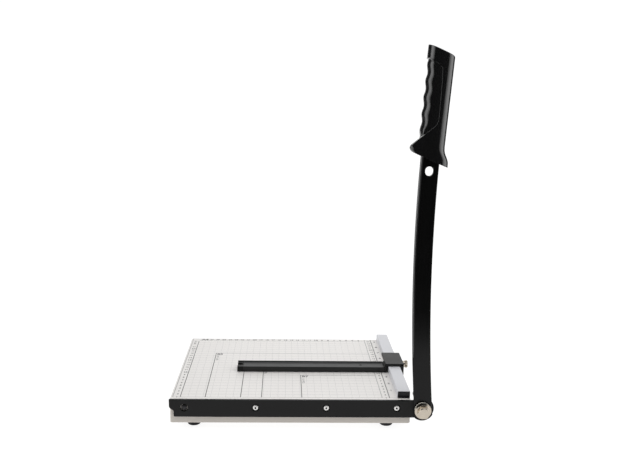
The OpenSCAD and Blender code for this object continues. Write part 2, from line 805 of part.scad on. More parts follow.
base_table();
shear_bar();
bar_screw(0);  // bar_screw_left
bar_screw(1);  // bar_screw_middle
bar_screw(2);  // bar_screw_right
bar_nut(0);  // bar_nut_left
bar_nut(1);  // bar_nut_middle
bar_nut(2);  // bar_nut_right
fence_rail();
fence_cap(fence_front, rail_y0, 1);  // fence_front_cap
fence_cap(table_y1 - 1, rail_y1, -1);  // fence_rear_cap
fence_screw(0);  // fence_screw_front
fence_screw(1);  // fence_screw_rear
guide_bar();
guide_end_piece();
guide_head();
guide_screw();
clamp_shoe();
thumb_screw();
blade_arm();
handle_front_shell();
handle_rear_shell();
grip_insert();
handle_screw(0);  // handle_screw_low
handle_screw(1);  // handle_screw_middle
handle_screw(2);  // handle_screw_high
pivot_bolt();
pivot_bush();
friction_washer();
spring_washer();
rear_washer();
pivot_nut();
lock_pin();
lock_knob();
lock_bracket();
foot(0);  // foot_front_left
foot(1);  // foot_front_right
foot(2);  // foot_rear_left
foot(3);  // foot_rear_right
foot_screw(0);  // foot_screw_front_left
foot_screw(1);  // foot_screw_front_right
foot_screw(2);  // foot_screw_rear_left
foot_screw(3);  // foot_screw_rear_right
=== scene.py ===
"""Guillotine paper cutter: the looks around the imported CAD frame.

Shapes are drawn in millimetres in the CAD source's own layout (X from the table's middle, Y from the
shear bar's face, Z from the bench) and moved into the row frame by offsets that come from the frame.
"""

import json
from math import atan2, copysign, cos, degrees, hypot, pi, radians, sin, sqrt, tan

import bmesh
import bpy
from mathutils import Matrix, Vector

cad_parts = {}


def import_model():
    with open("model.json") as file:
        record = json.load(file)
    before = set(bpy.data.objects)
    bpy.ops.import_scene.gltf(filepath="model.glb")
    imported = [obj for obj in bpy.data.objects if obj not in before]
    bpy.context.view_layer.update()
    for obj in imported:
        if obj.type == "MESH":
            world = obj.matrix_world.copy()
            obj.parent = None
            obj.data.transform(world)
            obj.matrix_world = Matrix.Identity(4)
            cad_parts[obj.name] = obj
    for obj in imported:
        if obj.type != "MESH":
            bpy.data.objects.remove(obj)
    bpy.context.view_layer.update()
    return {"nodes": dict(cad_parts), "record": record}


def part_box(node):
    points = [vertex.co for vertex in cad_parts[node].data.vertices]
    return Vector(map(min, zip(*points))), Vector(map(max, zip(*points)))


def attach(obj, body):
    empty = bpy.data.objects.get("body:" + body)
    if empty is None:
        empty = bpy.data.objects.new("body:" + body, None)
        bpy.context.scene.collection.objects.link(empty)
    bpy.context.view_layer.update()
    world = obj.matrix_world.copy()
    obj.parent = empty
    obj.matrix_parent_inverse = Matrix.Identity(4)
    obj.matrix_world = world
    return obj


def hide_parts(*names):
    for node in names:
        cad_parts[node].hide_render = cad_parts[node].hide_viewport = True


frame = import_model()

# ---------------------------------------------------------------- layout (mm)

TABLE_X = 160.5
TABLE_Y0, TABLE_Y1 = 4.0, 252.0
FOOT_Z, TOP_Z = 8.5, 42.5
AXIS_Z = 31.5
PIVOT_X = 175.1
SCREW_XS = (-47.1, 47.1, 141.3)
LOCK_X = -141.3
SCALE_X0 = 142.5  # the printed scale's zero, at the fence

table_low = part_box("base_table")[0]
MID = Vector((-TABLE_X - table_low.x * 1000, TABLE_Y0 - table_low.y * 1000, FOOT_Z - table_low.z * 1000))
TO_ROW = Matrix.Scale(0.001, 4) @ Matrix.Translation(-MID)

# ---------------------------------------------------------------- materials


class Nodes:
    """A small wrapper that keeps node building short."""

    def __init__(self, name):
        self.mat = bpy.data.materials.new(name)
        self.mat.use_nodes = True
        self.tree = self.mat.node_tree
        self.bsdf = self.tree.nodes["Principled BSDF"]
        coord = self.tree.nodes.new("ShaderNodeTexCoord")
        self.where = coord.outputs["Object"]

    def add(self, kind, **inputs):
        node = self.tree.nodes.new("ShaderNode" + kind)
        for key, value in inputs.items():
            self.put(node.inputs[key.replace("_", " ")], value)
        return node

    def put(self, socket, value):
        if isinstance(value, bpy.types.NodeSocket):
            self.tree.links.new(value, socket)
        else:
            socket.default_value = value

    def math(self, op, a, b=0.0, c=0.0):
        node = self.tree.nodes.new("ShaderNodeMath")
        node.operation = op
        for socket, value in zip(node.inputs, (a, b, c)):
            self.put(socket, value)
        return node.outputs[0]

    def stretched(self, sx, sy, sz):
        node = self.tree.nodes.new("ShaderNodeMapping")
        self.put(node.inputs["Vector"], self.where)
        node.inputs["Scale"].default_value = (sx, sy, sz)
        return node.outputs[0]

    def noise(self, scale, detail=3.0, rough=0.55, where=None):
        node = self.add("TexNoise", Scale=scale, Detail=detail, Roughness=rough)
        self.put(node.inputs["Vector"], where or self.where)
        return node.outputs["Fac"]

    def spread(self, fac, low, high, from_low=0.25, from_high=0.75):
        """Maps fac from its from range onto low to high."""
        spans = dict(From_Min=from_low, From_Max=from_high, To_Min=low, To_Max=high)
        return self.add("MapRange", Value=fac, **spans).outputs[0]

    def blend(self, fac, a, b, mode="MIX"):
        node = self.tree.nodes.new("ShaderNodeMix")
        node.data_type = "RGBA"
        node.blend_type = mode
        self.put(node.inputs[0], fac)
        self.put(node.inputs[6], a)
        self.put(node.inputs[7], b)
        return node.outputs[2]

    def bump(self, height, strength, distance):
        return self.add("Bump", Strength=strength, Distance=distance, Height=height).outputs[0]

    def set(self, **inputs):
        for key, value in inputs.items():
            self.put(self.bsdf.inputs[key.replace("_", " ")], value)
        return self.mat


def rgb(r, g, b):
    return (r, g, b, 1.0)


def grey(level):
    return rgb(level, level, level)


def shade(colour, factor):
    return tuple(c * factor for c in colour[:3]) + (1.0,)


def painted(name, colour, rough, spec, grain_mm, grain_depth, vary=0.06):
    """Paint: a slight cloudiness in colour and gloss, and the fine orange peel of a sprayed coat."""
    n = Nodes(name)
    cloud = n.noise(28.0, 4.0)
    tint = n.blend(n.spread(cloud, 0.0, 1.0), shade(colour, 1 - vary), shade(colour, 1 + vary))
    dust = n.noise(1900.0, 2.0)
    peel = n.noise(1000.0 / grain_mm, 2.0, 0.5)
    gloss = n.math("ADD", n.spread(cloud, rough - 0.035, rough + 0.035), n.spread(dust, -0.03, 0.03))
    bump = n.bump(peel, 0.35, grain_depth * 0.001)
    return n.set(Base_Color=tint, Roughness=gloss, Specular_IOR_Level=spec, Normal=bump)


def moulded(name, colour, rough, spec, grain_mm=0.5, grain_depth=0.02, flow=(1.0, 1.0, 0.25)):
    """Injection-moulded plastic: flow marks along the part and a fine spark-eroded grain."""
    n = Nodes(name)
    streak = n.noise(45.0, 3.0, 0.5, n.stretched(*flow))
    tint = n.blend(n.spread(streak, 0.0, 1.0), shade(colour, 0.85), shade(colour, 1.2))
    grain = n.noise(1000.0 / grain_mm, 2.0, 0.6)
    scuff = n.noise(260.0, 5.0, 0.7)
    gloss = n.math("ADD", n.spread(streak, rough - 0.03, rough + 0.03), n.spread(scuff, -0.03, 0.05))
    bump = n.bump(grain, 0.25, grain_depth * 0.001)
    return n.set(Base_Color=tint, Roughness=gloss, Specular_IOR_Level=spec, Normal=bump)


def metal(name, colour, rough, along=(1.0, 1.0, 1.0), mark_scale=900.0, mark_depth=0.01, vary=0.1):
    """Bare or plated metal: tool marks along one direction, small stains and gloss changes."""
    n = Nodes(name)
    marks = n.noise(mark_scale, 3.0, 0.6, n.stretched(*along))
    stain = n.noise(120.0, 4.0, 0.6)
    tint = n.blend(n.spread(stain, 0.0, 1.0), shade(colour, 1 - vary), shade(colour, 1 + vary * 0.6))
    gloss = n.math("ADD", n.spread(marks, rough - 0.05, rough + 0.07), n.spread(stain, -0.03, 0.04))
    bump = n.bump(marks, 0.3, mark_depth * 0.001)
    return n.set(Base_Color=tint, Roughness=gloss, Metallic=1.0, Normal=bump)


def rubber(name, colour):
    """Matt rubber with a little dust in its colour and gloss."""
    n = Nodes(name)
    dust = n.noise(90.0, 5.0, 0.65)
    tint = n.blend(n.spread(dust, 0.0, 1.0), shade(colour, 0.8), shade(colour, 1.7))
    bump = n.bump(n.noise(2600.0, 2.0, 0.6), 0.4, 0.00003)
    return n.set(Base_Color=tint, Roughness=n.spread(dust, 0.62, 0.82), Specular_IOR_Level=0.3, Normal=bump)


def enamel():
    """Pale enamel, with the faint centimetre grid printed on the top face, and the sides below it darker and
    warmer as painted shade.
    """
    n = Nodes("table_enamel")
    x, y, z = n.add("SeparateXYZ", Vector=n.where).outputs
    cloud = n.noise(14.0, 4.0)
    base = n.blend(n.spread(cloud, 0.0, 1.0), rgb(0.675, 0.657, 0.640), rgb(0.705, 0.687, 0.670))
    x0, y0, top = (SCALE_X0 - MID.x) * 0.001, -MID.y * 0.001, (TOP_Z - MID.z) * 0.001
    field_x = (x0 - 0.290, x0 - 0.020)
    field_y = (y0 + 0.0098, y0 + 0.2405)
    pitch, dot_pitch, dot_share = 0.010, 0.002, 0.34

    def span(value, low, high):
        return n.math("MULTIPLY", n.math("GREATER_THAN", value, low), n.math("LESS_THAN", value, high))

    def by_steps(value, start, step, share):
        """1 within a share of a step from each whole step, else 0."""
        steps = n.math("DIVIDE", n.math("SUBTRACT", value, start), step)
        return n.math("LESS_THAN", n.math("PINGPONG", steps, 0.5), share)

    def dotted_lines(value, start, width, field, along, along_start, along_field):
        lines = n.math("MULTIPLY", by_steps(value, start, pitch, width / pitch / 2), span(value, *field))
        lines = n.math("MULTIPLY", lines, by_steps(along, along_start, dot_pitch, dot_share))
        return n.math("MULTIPLY", lines, span(along, *along_field))

    grid = n.math(
        "MAXIMUM",
        dotted_lines(x, x0, 0.00030, field_x, y, y0, field_y),
        dotted_lines(y, y0, 0.00055, field_y, x, x0, field_x),
    )
    grid = n.math("MULTIPLY", grid, n.math("GREATER_THAN", z, top - 0.00005))
    # Painted shade: everything more than a few millimetres below the top face is multiplied darker and warmer
    below = n.spread(z, 1.0, 0.0, top - 0.003, top - 0.001)
    base = n.blend(below, base, rgb(0.82, 0.785, 0.74), "MULTIPLY")
    ink = n.blend(n.math("MULTIPLY", grid, 0.85), base, rgb(0.27, 0.27, 0.275))
    peel = n.noise(1100.0, 2.0, 0.5)
    gloss = n.math("ADD", n.spread(cloud, 0.36, 0.44), n.spread(n.noise(700.0, 4.0), -0.02, 0.03))
    return n.set(Base_Color=ink, Roughness=gloss, Specular_IOR_Level=0.4, Normal=n.bump(peel, 0.25, 0.00003))


MATERIALS = {
    "table_enamel": enamel(),
    "bar_black": painted("bar_black", grey(0.006), 0.38, 0.20, 0.45, 0.02, vary=0.12),
    "blade_black": painted("blade_black", grey(0.003), 0.21, 0.20, 0.5, 0.02, vary=0.12),
    "fence_enamel": painted("fence_enamel", rgb(0.52, 0.525, 0.55), 0.34, 0.5, 0.6, 0.015, vary=0.03),
    "black_plastic": moulded("black_plastic", rgb(0.006, 0.006, 0.009), 0.28, 0.28),
    "zinc": metal("zinc", rgb(0.62, 0.63, 0.66), 0.34, vary=0.15),
    "guide_grey": painted("guide_grey", rgb(0.0080, 0.0085, 0.0085), 0.34, 0.36, 0.4, 0.015, vary=0.08),
    "guide_black": moulded("guide_black", grey(0.0045), 0.34, 0.22, flow=(0.25, 1.0, 1.0)),
    "guide_head_grey": moulded("guide_head_grey", grey(0.005), 0.38, 0.30, 0.35, 0.04, (0.3, 1.0, 1.0)),
    "black_screw": painted("black_screw", rgb(0.011, 0.011, 0.012), 0.42, 0.4, 0.3, 0.01, vary=0.2),
    "nylon": moulded("nylon", rgb(0.72, 0.70, 0.62), 0.45, 0.45),
    "nickel": metal("nickel", rgb(0.52, 0.465, 0.39), 0.18, mark_scale=600.0, mark_depth=0.012),
    "handle_gloss": moulded("handle_gloss", rgb(0.0035, 0.0035, 0.0038), 0.17, 0.88, 0.8, 0.012),
    "grip_gloss": moulded("grip_gloss", rgb(0.0038, 0.0038, 0.0040), 0.20, 0.80, 0.35, 0.02),
    "bronze": metal("bronze", rgb(0.52, 0.33, 0.15), 0.32),
    "spring_steel": metal("spring_steel", rgb(0.30, 0.30, 0.32), 0.30, mark_scale=1200.0),
    "bright_screw": metal("bright_screw", rgb(0.88, 0.87, 0.85), 0.42),
    "foot_rubber": rubber("foot_rubber", rgb(0.0075, 0.0075, 0.0078)),
}
GROUND_STEEL = metal("ground_steel", grey(0.15), 0.38, (1.0, 1.0, 14.0), mark_scale=260.0, mark_depth=0.02)


def ink_material(name, level):
    """Flat grey of one level with slight wear in it: thin printed ink, and also painted shade in sockets and
    painted highlights on the handle's edge.
    """
    n = Nodes(name)
    worn = n.noise(900.0, 3.0, 0.6)
    pale = rgb(level * 1.5, level * 1.5, level * 1.48)
    tint = n.blend(n.spread(worn, 0.0, 1.0, 0.35, 0.65), grey(level), pale)
    return n.set(Base_Color=tint, Roughness=n.spread(worn, 0.40, 0.55), Specular_IOR_Level=0.3)


# A near-black flat grey laid inside the screws' sockets as painted shade
SOCKET_PAINTED_SHADE = ink_material("socket_painted_shade", 0.006)
# Lighter greys laid on the handle's edge round the grip as painted highlight, faint along the grip and bright
# over the guard
FAINT_PAINTED_HIGHLIGHT = ink_material("handle_edge_painted_highlight_faint", 0.07)
BRIGHT_PAINTED_HIGHLIGHT = ink_material("handle_edge_painted_highlight_bright", 0.30)
INK_DARK = ink_material("ink_dark", 0.055)
INK_MID = ink_material("ink_mid", 0.20)

for part in frame["record"]["subparts"]:
    node_mesh = frame["nodes"][part["node"]].data
    node_mesh.materials.clear()
    node_mesh.materials.append(MATERIALS[part["material_slot"]])

# ---------------------------------------------------------------- mesh helpers


def add_object(name, data):
    obj = bpy.data.objects.new(name, data)
    bpy.context.scene.collection.objects.link(obj)
    return obj


def mesh_from(name, bm):
    mesh = bpy.data.meshes.new(name)
    bm.to_mesh(mesh)
    bm.free()
    return mesh


def piece(name, bm, body, slot=None, stands_for=(), more=(), flat_angle=32.0, weighted=True):
    """Turns a bmesh drawn in layout millimetres into a piece that rides on a body.

    Its first material is the slot's, and more are the materials after it.
    """
    bmesh.ops.remove_doubles(bm, verts=bm.verts, dist=1e-4)
    bmesh.ops.recalc_face_normals(bm, faces=bm.faces)
    bm.transform(TO_ROW)
    for face in bm.faces:
        face.smooth = True
    for edge in bm.edges:
        if len(edge.link_faces) == 2 and degrees(edge.calc_face_angle(0.0)) > flat_angle:
            edge.smooth = False
    obj = add_object(name, mesh_from(name, bm))
    for material in ([MATERIALS[slot]] if slot else []) + list(more):
        obj.data.materials.append(material)
    if weighted:
        modifier = obj.modifiers.new("Weighted normals", "WEIGHTED_NORMAL")
        modifier.keep_sharp = True
    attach(obj, body)
    if stands_for:
        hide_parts(*stands_for)


def arc(cx, cy, r, start, end, count):
    turns = [radians(start + (end - start) * i / count) for i in range(count + 1)]
    return [(cx + r * cos(t), cy + r * sin(t)) for t in turns]


def rounded_rect(x0, x1, y0, y1, r, steps=6):
    out = []
    left, right, low, high = x0 + r, x1 - r, y0 + r, y1 - r
    for cx, cy, a in ((right, low, -90), (right, high, 0), (left, high, 90), (left, low, 180)):
        out += arc(cx, cy, r, a, a + 90, steps)
    return out


def per_point(value, count):
    return value if isinstance(value, (list, tuple)) else [value] * count


def fillet(points, radii, steps=5):
    """Rounds each corner of a closed polygon, by one radius or by one per point."""
    out = []
    count = len(points)
    for i, r in enumerate(per_point(radii, count)):
        a, b, c = Vector(points[i - 1]), Vector(points[i]), Vector(points[(i + 1) % count])
        u, v = (a - b), (c - b)
        if r <= 0 or u.length < 1e-6 or v.length < 1e-6:
            out.append(tuple(b))
            continue
        un, vn = u.normalized(), v.normalized()
        half = un.angle(vn) / 2
        if half > radians(88):
            out.append(tuple(b))
            continue
        reach = min(r / tan(half), u.length * 0.49, v.length * 0.49)
        r = reach * tan(half)
        centre = b + (un + vn).normalized() * (r / sin(half))
        p0, p1 = b + un * reach, b + vn * reach
        a0 = atan2(p0.y - centre.y, p0.x - centre.x)
        a1 = atan2(p1.y - centre.y, p1.x - centre.x)
        turn = (a1 - a0 + pi) % (2 * pi) - pi
        out += arc(centre.x, centre.y, r, degrees(a0), degrees(a0 + turn), steps)
    return out


def inset(points, distance):
    """Moves a closed outline towards its left by a distance, or by one distance per point."""
    count = len(points)
    out = []
    for i, d in enumerate(per_point(distance, count)):
        a, b, c = Vector(points[i - 1]), Vector(points[i]), Vector(points[(i + 1) % count])
        e0, e1 = (b - a).normalized(), (c - b).normalized()
        n0, n1 = Vector((-e0.y, e0.x)), Vector((-e1.y, e1.x))
        m = n0 + n1
        if m.length < 1e-6:
            out.append(tuple(b + n0 * d))
            continue
        m.normalize()
        out.append(tuple(b + m * (d / max(0.35, m.dot(n0)))))
    return out


def edge_rings(points, low, high, bevel_low, bevel_high, steps=3):
    """Rings of (x, y, height) that carry an outline from low to high with rounded edges.

    A bevel is one size, or a list with each point's size across and along.
    """

    def ring(bevel, turn, start, sign):
        sizes = bevel if isinstance(bevel, list) else [(bevel, bevel)] * len(points)
        moved = inset(points, [b[0] * (1 - sin(turn)) for b in sizes])
        return [(p[0], p[1], start + sign * b[1] * (1 - cos(turn))) for p, b in zip(moved, sizes)]

    turns = [pi / 2 * k / steps for k in range(steps + 1)]
    rings = [ring(bevel_low, t, low, 1) for t in turns]
    return rings + [ring(bevel_high, t, high, -1) for t in reversed(turns)]


def hole_rings(cx, cy, steps, count=40):
    """Rings of a round, stepped hole, from (radius, height) pairs; it runs clockwise."""
    turns = [-2 * pi * i / count for i in range(count)]
    return [[(cx + r * cos(t), cy + r * sin(t), h) for t in turns] for r, h in steps]


def skin(bm, rows, material_of=None):
    """Faces between neighbouring rows of vertices. A row of one vertex is a tip."""
    for k, (a, b) in enumerate(zip(rows, rows[1:])):
        count = max(len(a), len(b))
        for i in range(count):
            j = (i + 1) % count
            if len(a) == 1:
                corners = (a[0], b[j], b[i])
            elif len(b) == 1:
                corners = (a[i], a[j], b[0])
            else:
                corners = (a[i], a[j], b[j], b[i])
            face = bm.faces.new(corners)
            if material_of:
                face.material_index = material_of(k, i)


def solid(bm, loops, place, material_of=None):
    """Joins each loop's rings and closes the first and the last rings of all loops with caps.

    material_of gives a face's material on the first loop, the outline.
    """
    made = [[[bm.verts.new(place(*p)) for p in ring] for ring in rings] for rings in loops]
    for rows in made:
        skin(bm, rows, material_of if rows is made[0] else None)
    for group in ([rows[0] for rows in made], [rows[-1] for rows in made]):
        if len(group) == 1:
            bm.faces.new(group[0])
            continue
        edges = [bm.edges.get((ring[i - 1], ring[i])) for ring in group for i in range(len(ring))]
        bmesh.ops.triangle_fill(bm, use_beauty=True, use_dissolve=False, edges=edges)


def along_y(x, z, y):
    return (x, y, z)


def along_x(y, z, x):
    return (x, y, z)


def along_z(x, y, z):
    return (x, y, z)


def slab(bm, points, low, high, bevel=0.3, place=along_y, steps=3):
    solid(bm, [edge_rings(points, low, high, bevel, bevel, steps)], place)


def block(bm, x, y, z, bevel, corner, place):
    """A box with rounded edges, from its (low, high) spans; the outline lies across the place's axis."""
    (a0, a1), (b0, b1), (low, high) = {along_x: (y, z, x), along_z: (x, y, z)}[place]
    points = fillet([(a0, b0), (a1, b0), (a1, b1), (a0, b1)], corner, 4)
    slab(bm, points, low, high, bevel, place, 3 if place is along_z else 2)


def cut(bm, draw):
    """Takes the closed shape that draw(bmesh) makes out of a bmesh, and returns the result."""
    tool = bmesh.new()
    draw(tool)
    made = []
    for shape in (bm, tool):
        bmesh.ops.recalc_face_normals(shape, faces=shape.faces)
        made.append(add_object("cut", mesh_from("cut", shape)))
    modifier = made[0].modifiers.new("Cut", "BOOLEAN")
    modifier.operation = "DIFFERENCE"
    modifier.solver = "EXACT"
    modifier.object = made[1]
    bpy.context.view_layer.update()
    result = bpy.data.meshes.new_from_object(made[0].evaluated_get(bpy.context.evaluated_depsgraph_get()))
    out = bmesh.new()
    out.from_mesh(result)
    bpy.data.meshes.remove(result)
    for obj in made:
        mesh = obj.data
        bpy.data.objects.remove(obj)
        bpy.data.meshes.remove(mesh)
    return out


AXES = {
    "x": (Vector((0, 1, 0)), Vector((0, 0, 1)), Vector((1, 0, 0))),
    "y": (Vector((1, 0, 0)), Vector((0, 0, 1)), Vector((0, 1, 0))),
    "z": (Vector((1, 0, 0)), Vector((0, 1, 0)), Vector((0, 0, 1))),
}


def lathe(bm, profile, origin, axis="y", count=56, closed=False, radius=None):
    """Turns (radius, height) points round an axis.

    A third number in a point is how far it takes on the shape that radius(angle) gives.
    """
    u, v, w = AXES[axis]
    rows = []
    for r, h, *share in profile:
        row = []
        for i in range(count if r else 1):
            t = 2 * pi * i / count
            k = 1.0 + share[0] * (radius(t) - 1.0) if share else 1.0
            row.append(bm.verts.new(Vector(origin) + w * h + (u * cos(t) + v * sin(t)) * (r * k)))
        rows.append(row)
    skin(bm, rows + rows[:1] if closed else rows)


def hexagon(t):
    """Radius of a hexagon whose corners are at radius 1, first corner at angle 0."""
    step = pi / 3
    return cos(step / 2) / cos((t % step) - step / 2)


def knurl(teeth, depth):
    return lambda t: 1.0 - depth * (0.5 + 0.5 * cos(teeth * t)) ** 1.5


# ---------------------------------------------------------------- table

SHEET = 1.2


def table_shell():
    """The folded sheet-steel pan, a closed shell that is open below inside its lips."""
    bm = bmesh.new()
    lip, side_lip, lip_corner = 28.0, 12.0, 3.0
    fold, corner, fold_steps = 1.4, 2.5, 4

    def ring(d, z, r):
        outline = rounded_rect(-TABLE_X + d, TABLE_X - d, TABLE_Y0 + d, TABLE_Y1 - d, r)
        return [bm.verts.new((x, y, z)) for x, y in outline]

    def opening(z, d=0.0):
        x1 = TABLE_X - side_lip + d
        outline = rounded_rect(-x1, x1, TABLE_Y0 + lip - d, TABLE_Y1 - lip + d, lip_corner)
        return [bm.verts.new((x, y, z)) for x, y in outline]

    def folded(k, z, sign):
        turn = pi / 2 * k / fold_steps
        d = fold * (1 - sin(turn))
        return ring(d, z + sign * fold * (1 - cos(turn)), max(0.6, corner - d))

    outer = [opening(FOOT_Z + 0.2), opening(FOOT_Z, 0.2)]
    outer += [folded(k, FOOT_Z, 1) for k in range(fold_steps + 1)]
    outer += [folded(k, TOP_Z, -1) for k in range(fold_steps, -1, -1)]
    inner = [opening(FOOT_Z + SHEET - 0.2), opening(FOOT_Z + SHEET, 0.2)]
    inner += [ring(SHEET, z, corner - SHEET) for z in (FOOT_Z + SHEET, TOP_Z - SHEET)]
    for rows in (outer, inner, [outer[0], inner[0]]):
        skin(bm, rows)
    bm.faces.new(outer[-1])
    bm.faces.new(inner[-1])
    piece("table_shell", bm, "table", "table_enamel", ("base_table",))


table_shell()

# Printed scale: thin closed strips and figures of ink on the table's top face

INK_Z0, INK_Z1 = TOP_Z - 0.03, TOP_Z + 0.03
PRINT_FRONT, PRINT_BACK = 9.8, 249.6
INNER_BACK = 241.0
INCH = 25.4
# Width and depth in centimetres of the paper outlines drawn inside the A4 field
PAPER = {"B5": (25.7, 18.2), "A5": (21.0, 14.8), "B6": (18.2, 12.8), "B7": (12.8, 9.1)}


def scale_x(cm):
    return SCALE_X0 - 10.0 * cm


def strip(bm, x0, x1, y0, y1):
    corners = [(x0, y0), (x1, y0), (x1, y1), (x0, y1)]
    low, high = [[bm.verts.new((x, y, z)) for x, y in corners] for z in (INK_Z0, INK_Z1)]
    bm.faces.new(low[::-1])
    bm.faces.new(high)
    skin(bm, [low, high])


def line_along(bm, cm, y0, y1, width):
    strip(bm, scale_x(cm) - width / 2, scale_x(cm) + width / 2, y0, y1)


def line_across(bm, y, cm0, cm1, width):
    strip(bm, scale_x(cm1), scale_x(cm0), y - width / 2, y + width / 2)


def printed_lines():
    dark, mid = bmesh.new(), bmesh.new()
    line_along(dark, 29, PRINT_FRONT, 238.0, 0.95)
    line_along(dark, 1, PRINT_FRONT, PRINT_BACK, 1.0)
    for width, depth in PAPER.values():
        line_along(dark, width, PRINT_FRONT, depth * 10, 0.95)
        line_across(mid, depth * 10, 2.0, width - 0.05, 0.75)
    line_along(mid, 30, PRINT_FRONT, PRINT_BACK, 0.75)
    line_along(mid, 2, PRINT_FRONT, PRINT_BACK, 0.7)
    line_across(mid, PRINT_FRONT, 0.0, 30.0, 0.45)
    line_across(mid, PRINT_BACK, 0.0, 30.0, 0.45)
    line_across(mid, INNER_BACK, 2.0, 28.9, 0.4)
    for mm in range(15, int(INNER_BACK), 5):
        long = 2.2 if mm % 10 == 0 else 1.4
        for x in (scale_x(2), scale_x(30)):
            strip(mid, x, x + long, mm - 0.15, mm + 0.15)
    for half_cm in range(5, 58):
        long = 2.0 if half_cm % 2 == 0 else 1.2
        x = scale_x(half_cm / 2)
        strip(mid, x - 0.15, x + 0.15, INNER_BACK, INNER_BACK + long)
    for eighth in range(1, 9 * 8):
        long = 3.2 if eighth % 8 == 0 else (2.2 if eighth % 4 == 0 else 1.3)
        x, y = scale_x(1) + 0.4, 10.0 + INCH * eighth / 8
        strip(mid, x, x + long, y - 0.12, y + 0.12)
    piece("print_lines_dark", dark, "table", more=[INK_DARK], weighted=False)
    piece("print_lines_light", mid, "table", more=[INK_MID], weighted=False)


printed_lines()


def figures(name, rows, material):
    """Ink figures: rows of (text, x, y, height, turn in degrees)."""
    bm = bmesh.new()
    for text, x, y, height, turn in rows:
        curve = bpy.data.curves.new("figure", "FONT")
        curve.body = text
        curve.align_x = "CENTER"
        curve.align_y = "CENTER"
        curve.size = height * 1.38
        curve.resolution_u = 2
        curve.extrude = (INK_Z1 - INK_Z0) / 2
        curve.offset = height * 0.035
        obj = add_object("figure", curve)
        bpy.context.view_layer.update()
        mesh = bpy.data.meshes.new_from_object(obj.evaluated_get(bpy.context.evaluated_depsgraph_get()))
        mesh.transform(Matrix.Translation((x, y, TOP_Z)) @ Matrix.Rotation(radians(turn), 4, "Z"))
        bm.from_mesh(mesh)
        bpy.data.meshes.remove(mesh)
        bpy.data.objects.remove(obj)
        bpy.data.curves.remove(curve)
    piece(name, bm, "table", more=[material], weighted=False)


def printed_figures():
    dims_height, back_y = 3.4, 245.6
    dark, light = [], []
    for cm in range(3, 28):
        dark.append((str(cm), scale_x(cm), back_y, 5.0 if cm % 5 == 0 else 4.2, 0))
    for cm in range(1, 25):
        size = 4.4 if cm % 5 == 0 else 3.6
        dark.append((str(cm), scale_x(1.45), cm * 10.0, size, 0))
        if cm < 22:
            dark.append((str(cm), scale_x(29.45), cm * 10.0, size, 0))
    for inch in range(1, 10):
        dark.append((str(inch), scale_x(0.45), 10.0 + INCH * inch, 5.0, 0))
    dark.append(("A4", scale_x(28.1), back_y, 7.0, 0))
    dark.append(("29.7 x 21", scale_x(29.5), 231.0, dims_height, 90))
    for label, (width, depth) in PAPER.items():
        dark.append((label, scale_x(width) + 6.2, depth * 10 - 5.4, 6.2, 0))
        light.append(("%g x %g" % (width, depth), scale_x(width) + 3.6, depth * 10 - 21.5, dims_height, 90))
    figures("print_figures_dark", dark, INK_DARK)
    figures("print_figures_light", light, INK_MID)


printed_figures()

# ---------------------------------------------------------------- feet


def feet():
    r, socket_r, hole_r, height, seat = 9.5, 4.6, 1.92, 8.5, 5.0
    side = [(r - 0.3, height), (r, height - 0.3), (r, 5.0), (r - 0.03, 3.8), (r - 0.15, 2.6)]
    tread = [(r - 0.45, 1.6), (r - 0.9, 0.8), (r - 1.5, 0.25), (r - 2.2, 0.0), (5.2, 0.0)]
    socket = [(socket_r + 0.15, 0.2), (socket_r, 0.6), (socket_r, seat), (hole_r, seat)]
    for front_or_rear, y in (("front", 22.0), ("rear", 234.0)):
        for left_or_right, x in (("left", -130.5), ("right", 130.5)):
            name = front_or_rear + "_" + left_or_right
            bm = bmesh.new()
            lathe(bm, [(hole_r, height)] + side + tread + socket, (x, y, 0), "z", closed=True)
            piece("rubber_foot_" + name, bm, "table", "foot_rubber", ("foot_" + name,), flat_angle=40)


feet()

# ---------------------------------------------------------------- shear bar

BAR_T = 4.0
BAR_X0, BAR_Z0 = -161.3, 18.5
LUG_R = 16.0


def bar_outline():
    """Outline of the shear bar with its notch, pivot lug and guide ear, and each point's bevel."""
    notch = [(BAR_X0, TOP_Z), (BAR_X0, 31.2), (-155.1, 26.6), (-155.1, BAR_Z0), (-140.0, BAR_Z0)]
    points = fillet(notch, [0, 4.0, 3.4, 0.8, 0], 6)[1:-1]
    points += [(x, BAR_Z0) for x in (-100.0, 0.0, 100.0)]
    points += arc(PIVOT_X, AXIS_Z, LUG_R, 234.3, 450.0, 54)
    points += arc(168.6, 51.9, 6.5, 0.0, 258.0, 34)[:-1]
    points += arc(PIVOT_X, AXIS_Z, LUG_R, 118.8, 136.6, 6)
    points += [(x, TOP_Z) for x in (100.0, 0.0, -100.0, BAR_X0)]
    clean = [points[0]]
    for p in points[1:]:
        if hypot(p[0] - clean[-1][0], p[1] - clean[-1][1]) > 0.05:
            clean.append(p)
    bevels = []
    for x, z in clean:
        if x < -154.0 and z < TOP_Z - 0.5:
            bevels.append((1.7, 1.2))
        elif z < BAR_Z0 + 0.5 and x < 164.0:
            bevels.append((0.9, 0.6))
        elif z > TOP_Z - 0.5 and x < 150.0:
            bevels.append((0.5, 0.35))
        else:
            bevels.append((0.8, 0.7))
    return clean, bevels


def shear_bar():
    bm = bmesh.new()
    points, bevels = bar_outline()
    loops = [edge_rings(points, 0.0, BAR_T, bevels, 0.3)]
    counterbore = [(5.1, 0.0), (4.88, 0.1), (4.8, 0.35), (4.8, 2.6), (2.05, 2.6), (2.05, BAR_T)]
    loops += [hole_rings(x, AXIS_Z, counterbore, 48) for x in SCREW_XS]
    lock_hole = [(5.42, 0.0), (5.33, 0.03), (5.3, 0.12), (5.3, 3.8), (5.5, BAR_T)]
    loops.append(hole_rings(LOCK_X, AXIS_Z, lock_hole, 56))
    loops.append(hole_rings(PIVOT_X, AXIS_Z, [(6.3, 0.0), (6.02, 0.3), (6.02, BAR_T)], 56))
    solid(bm, loops, along_y)
    piece("shear_bar_body", bm, "table", "bar_black", ("shear_bar",), flat_angle=40)


shear_bar()


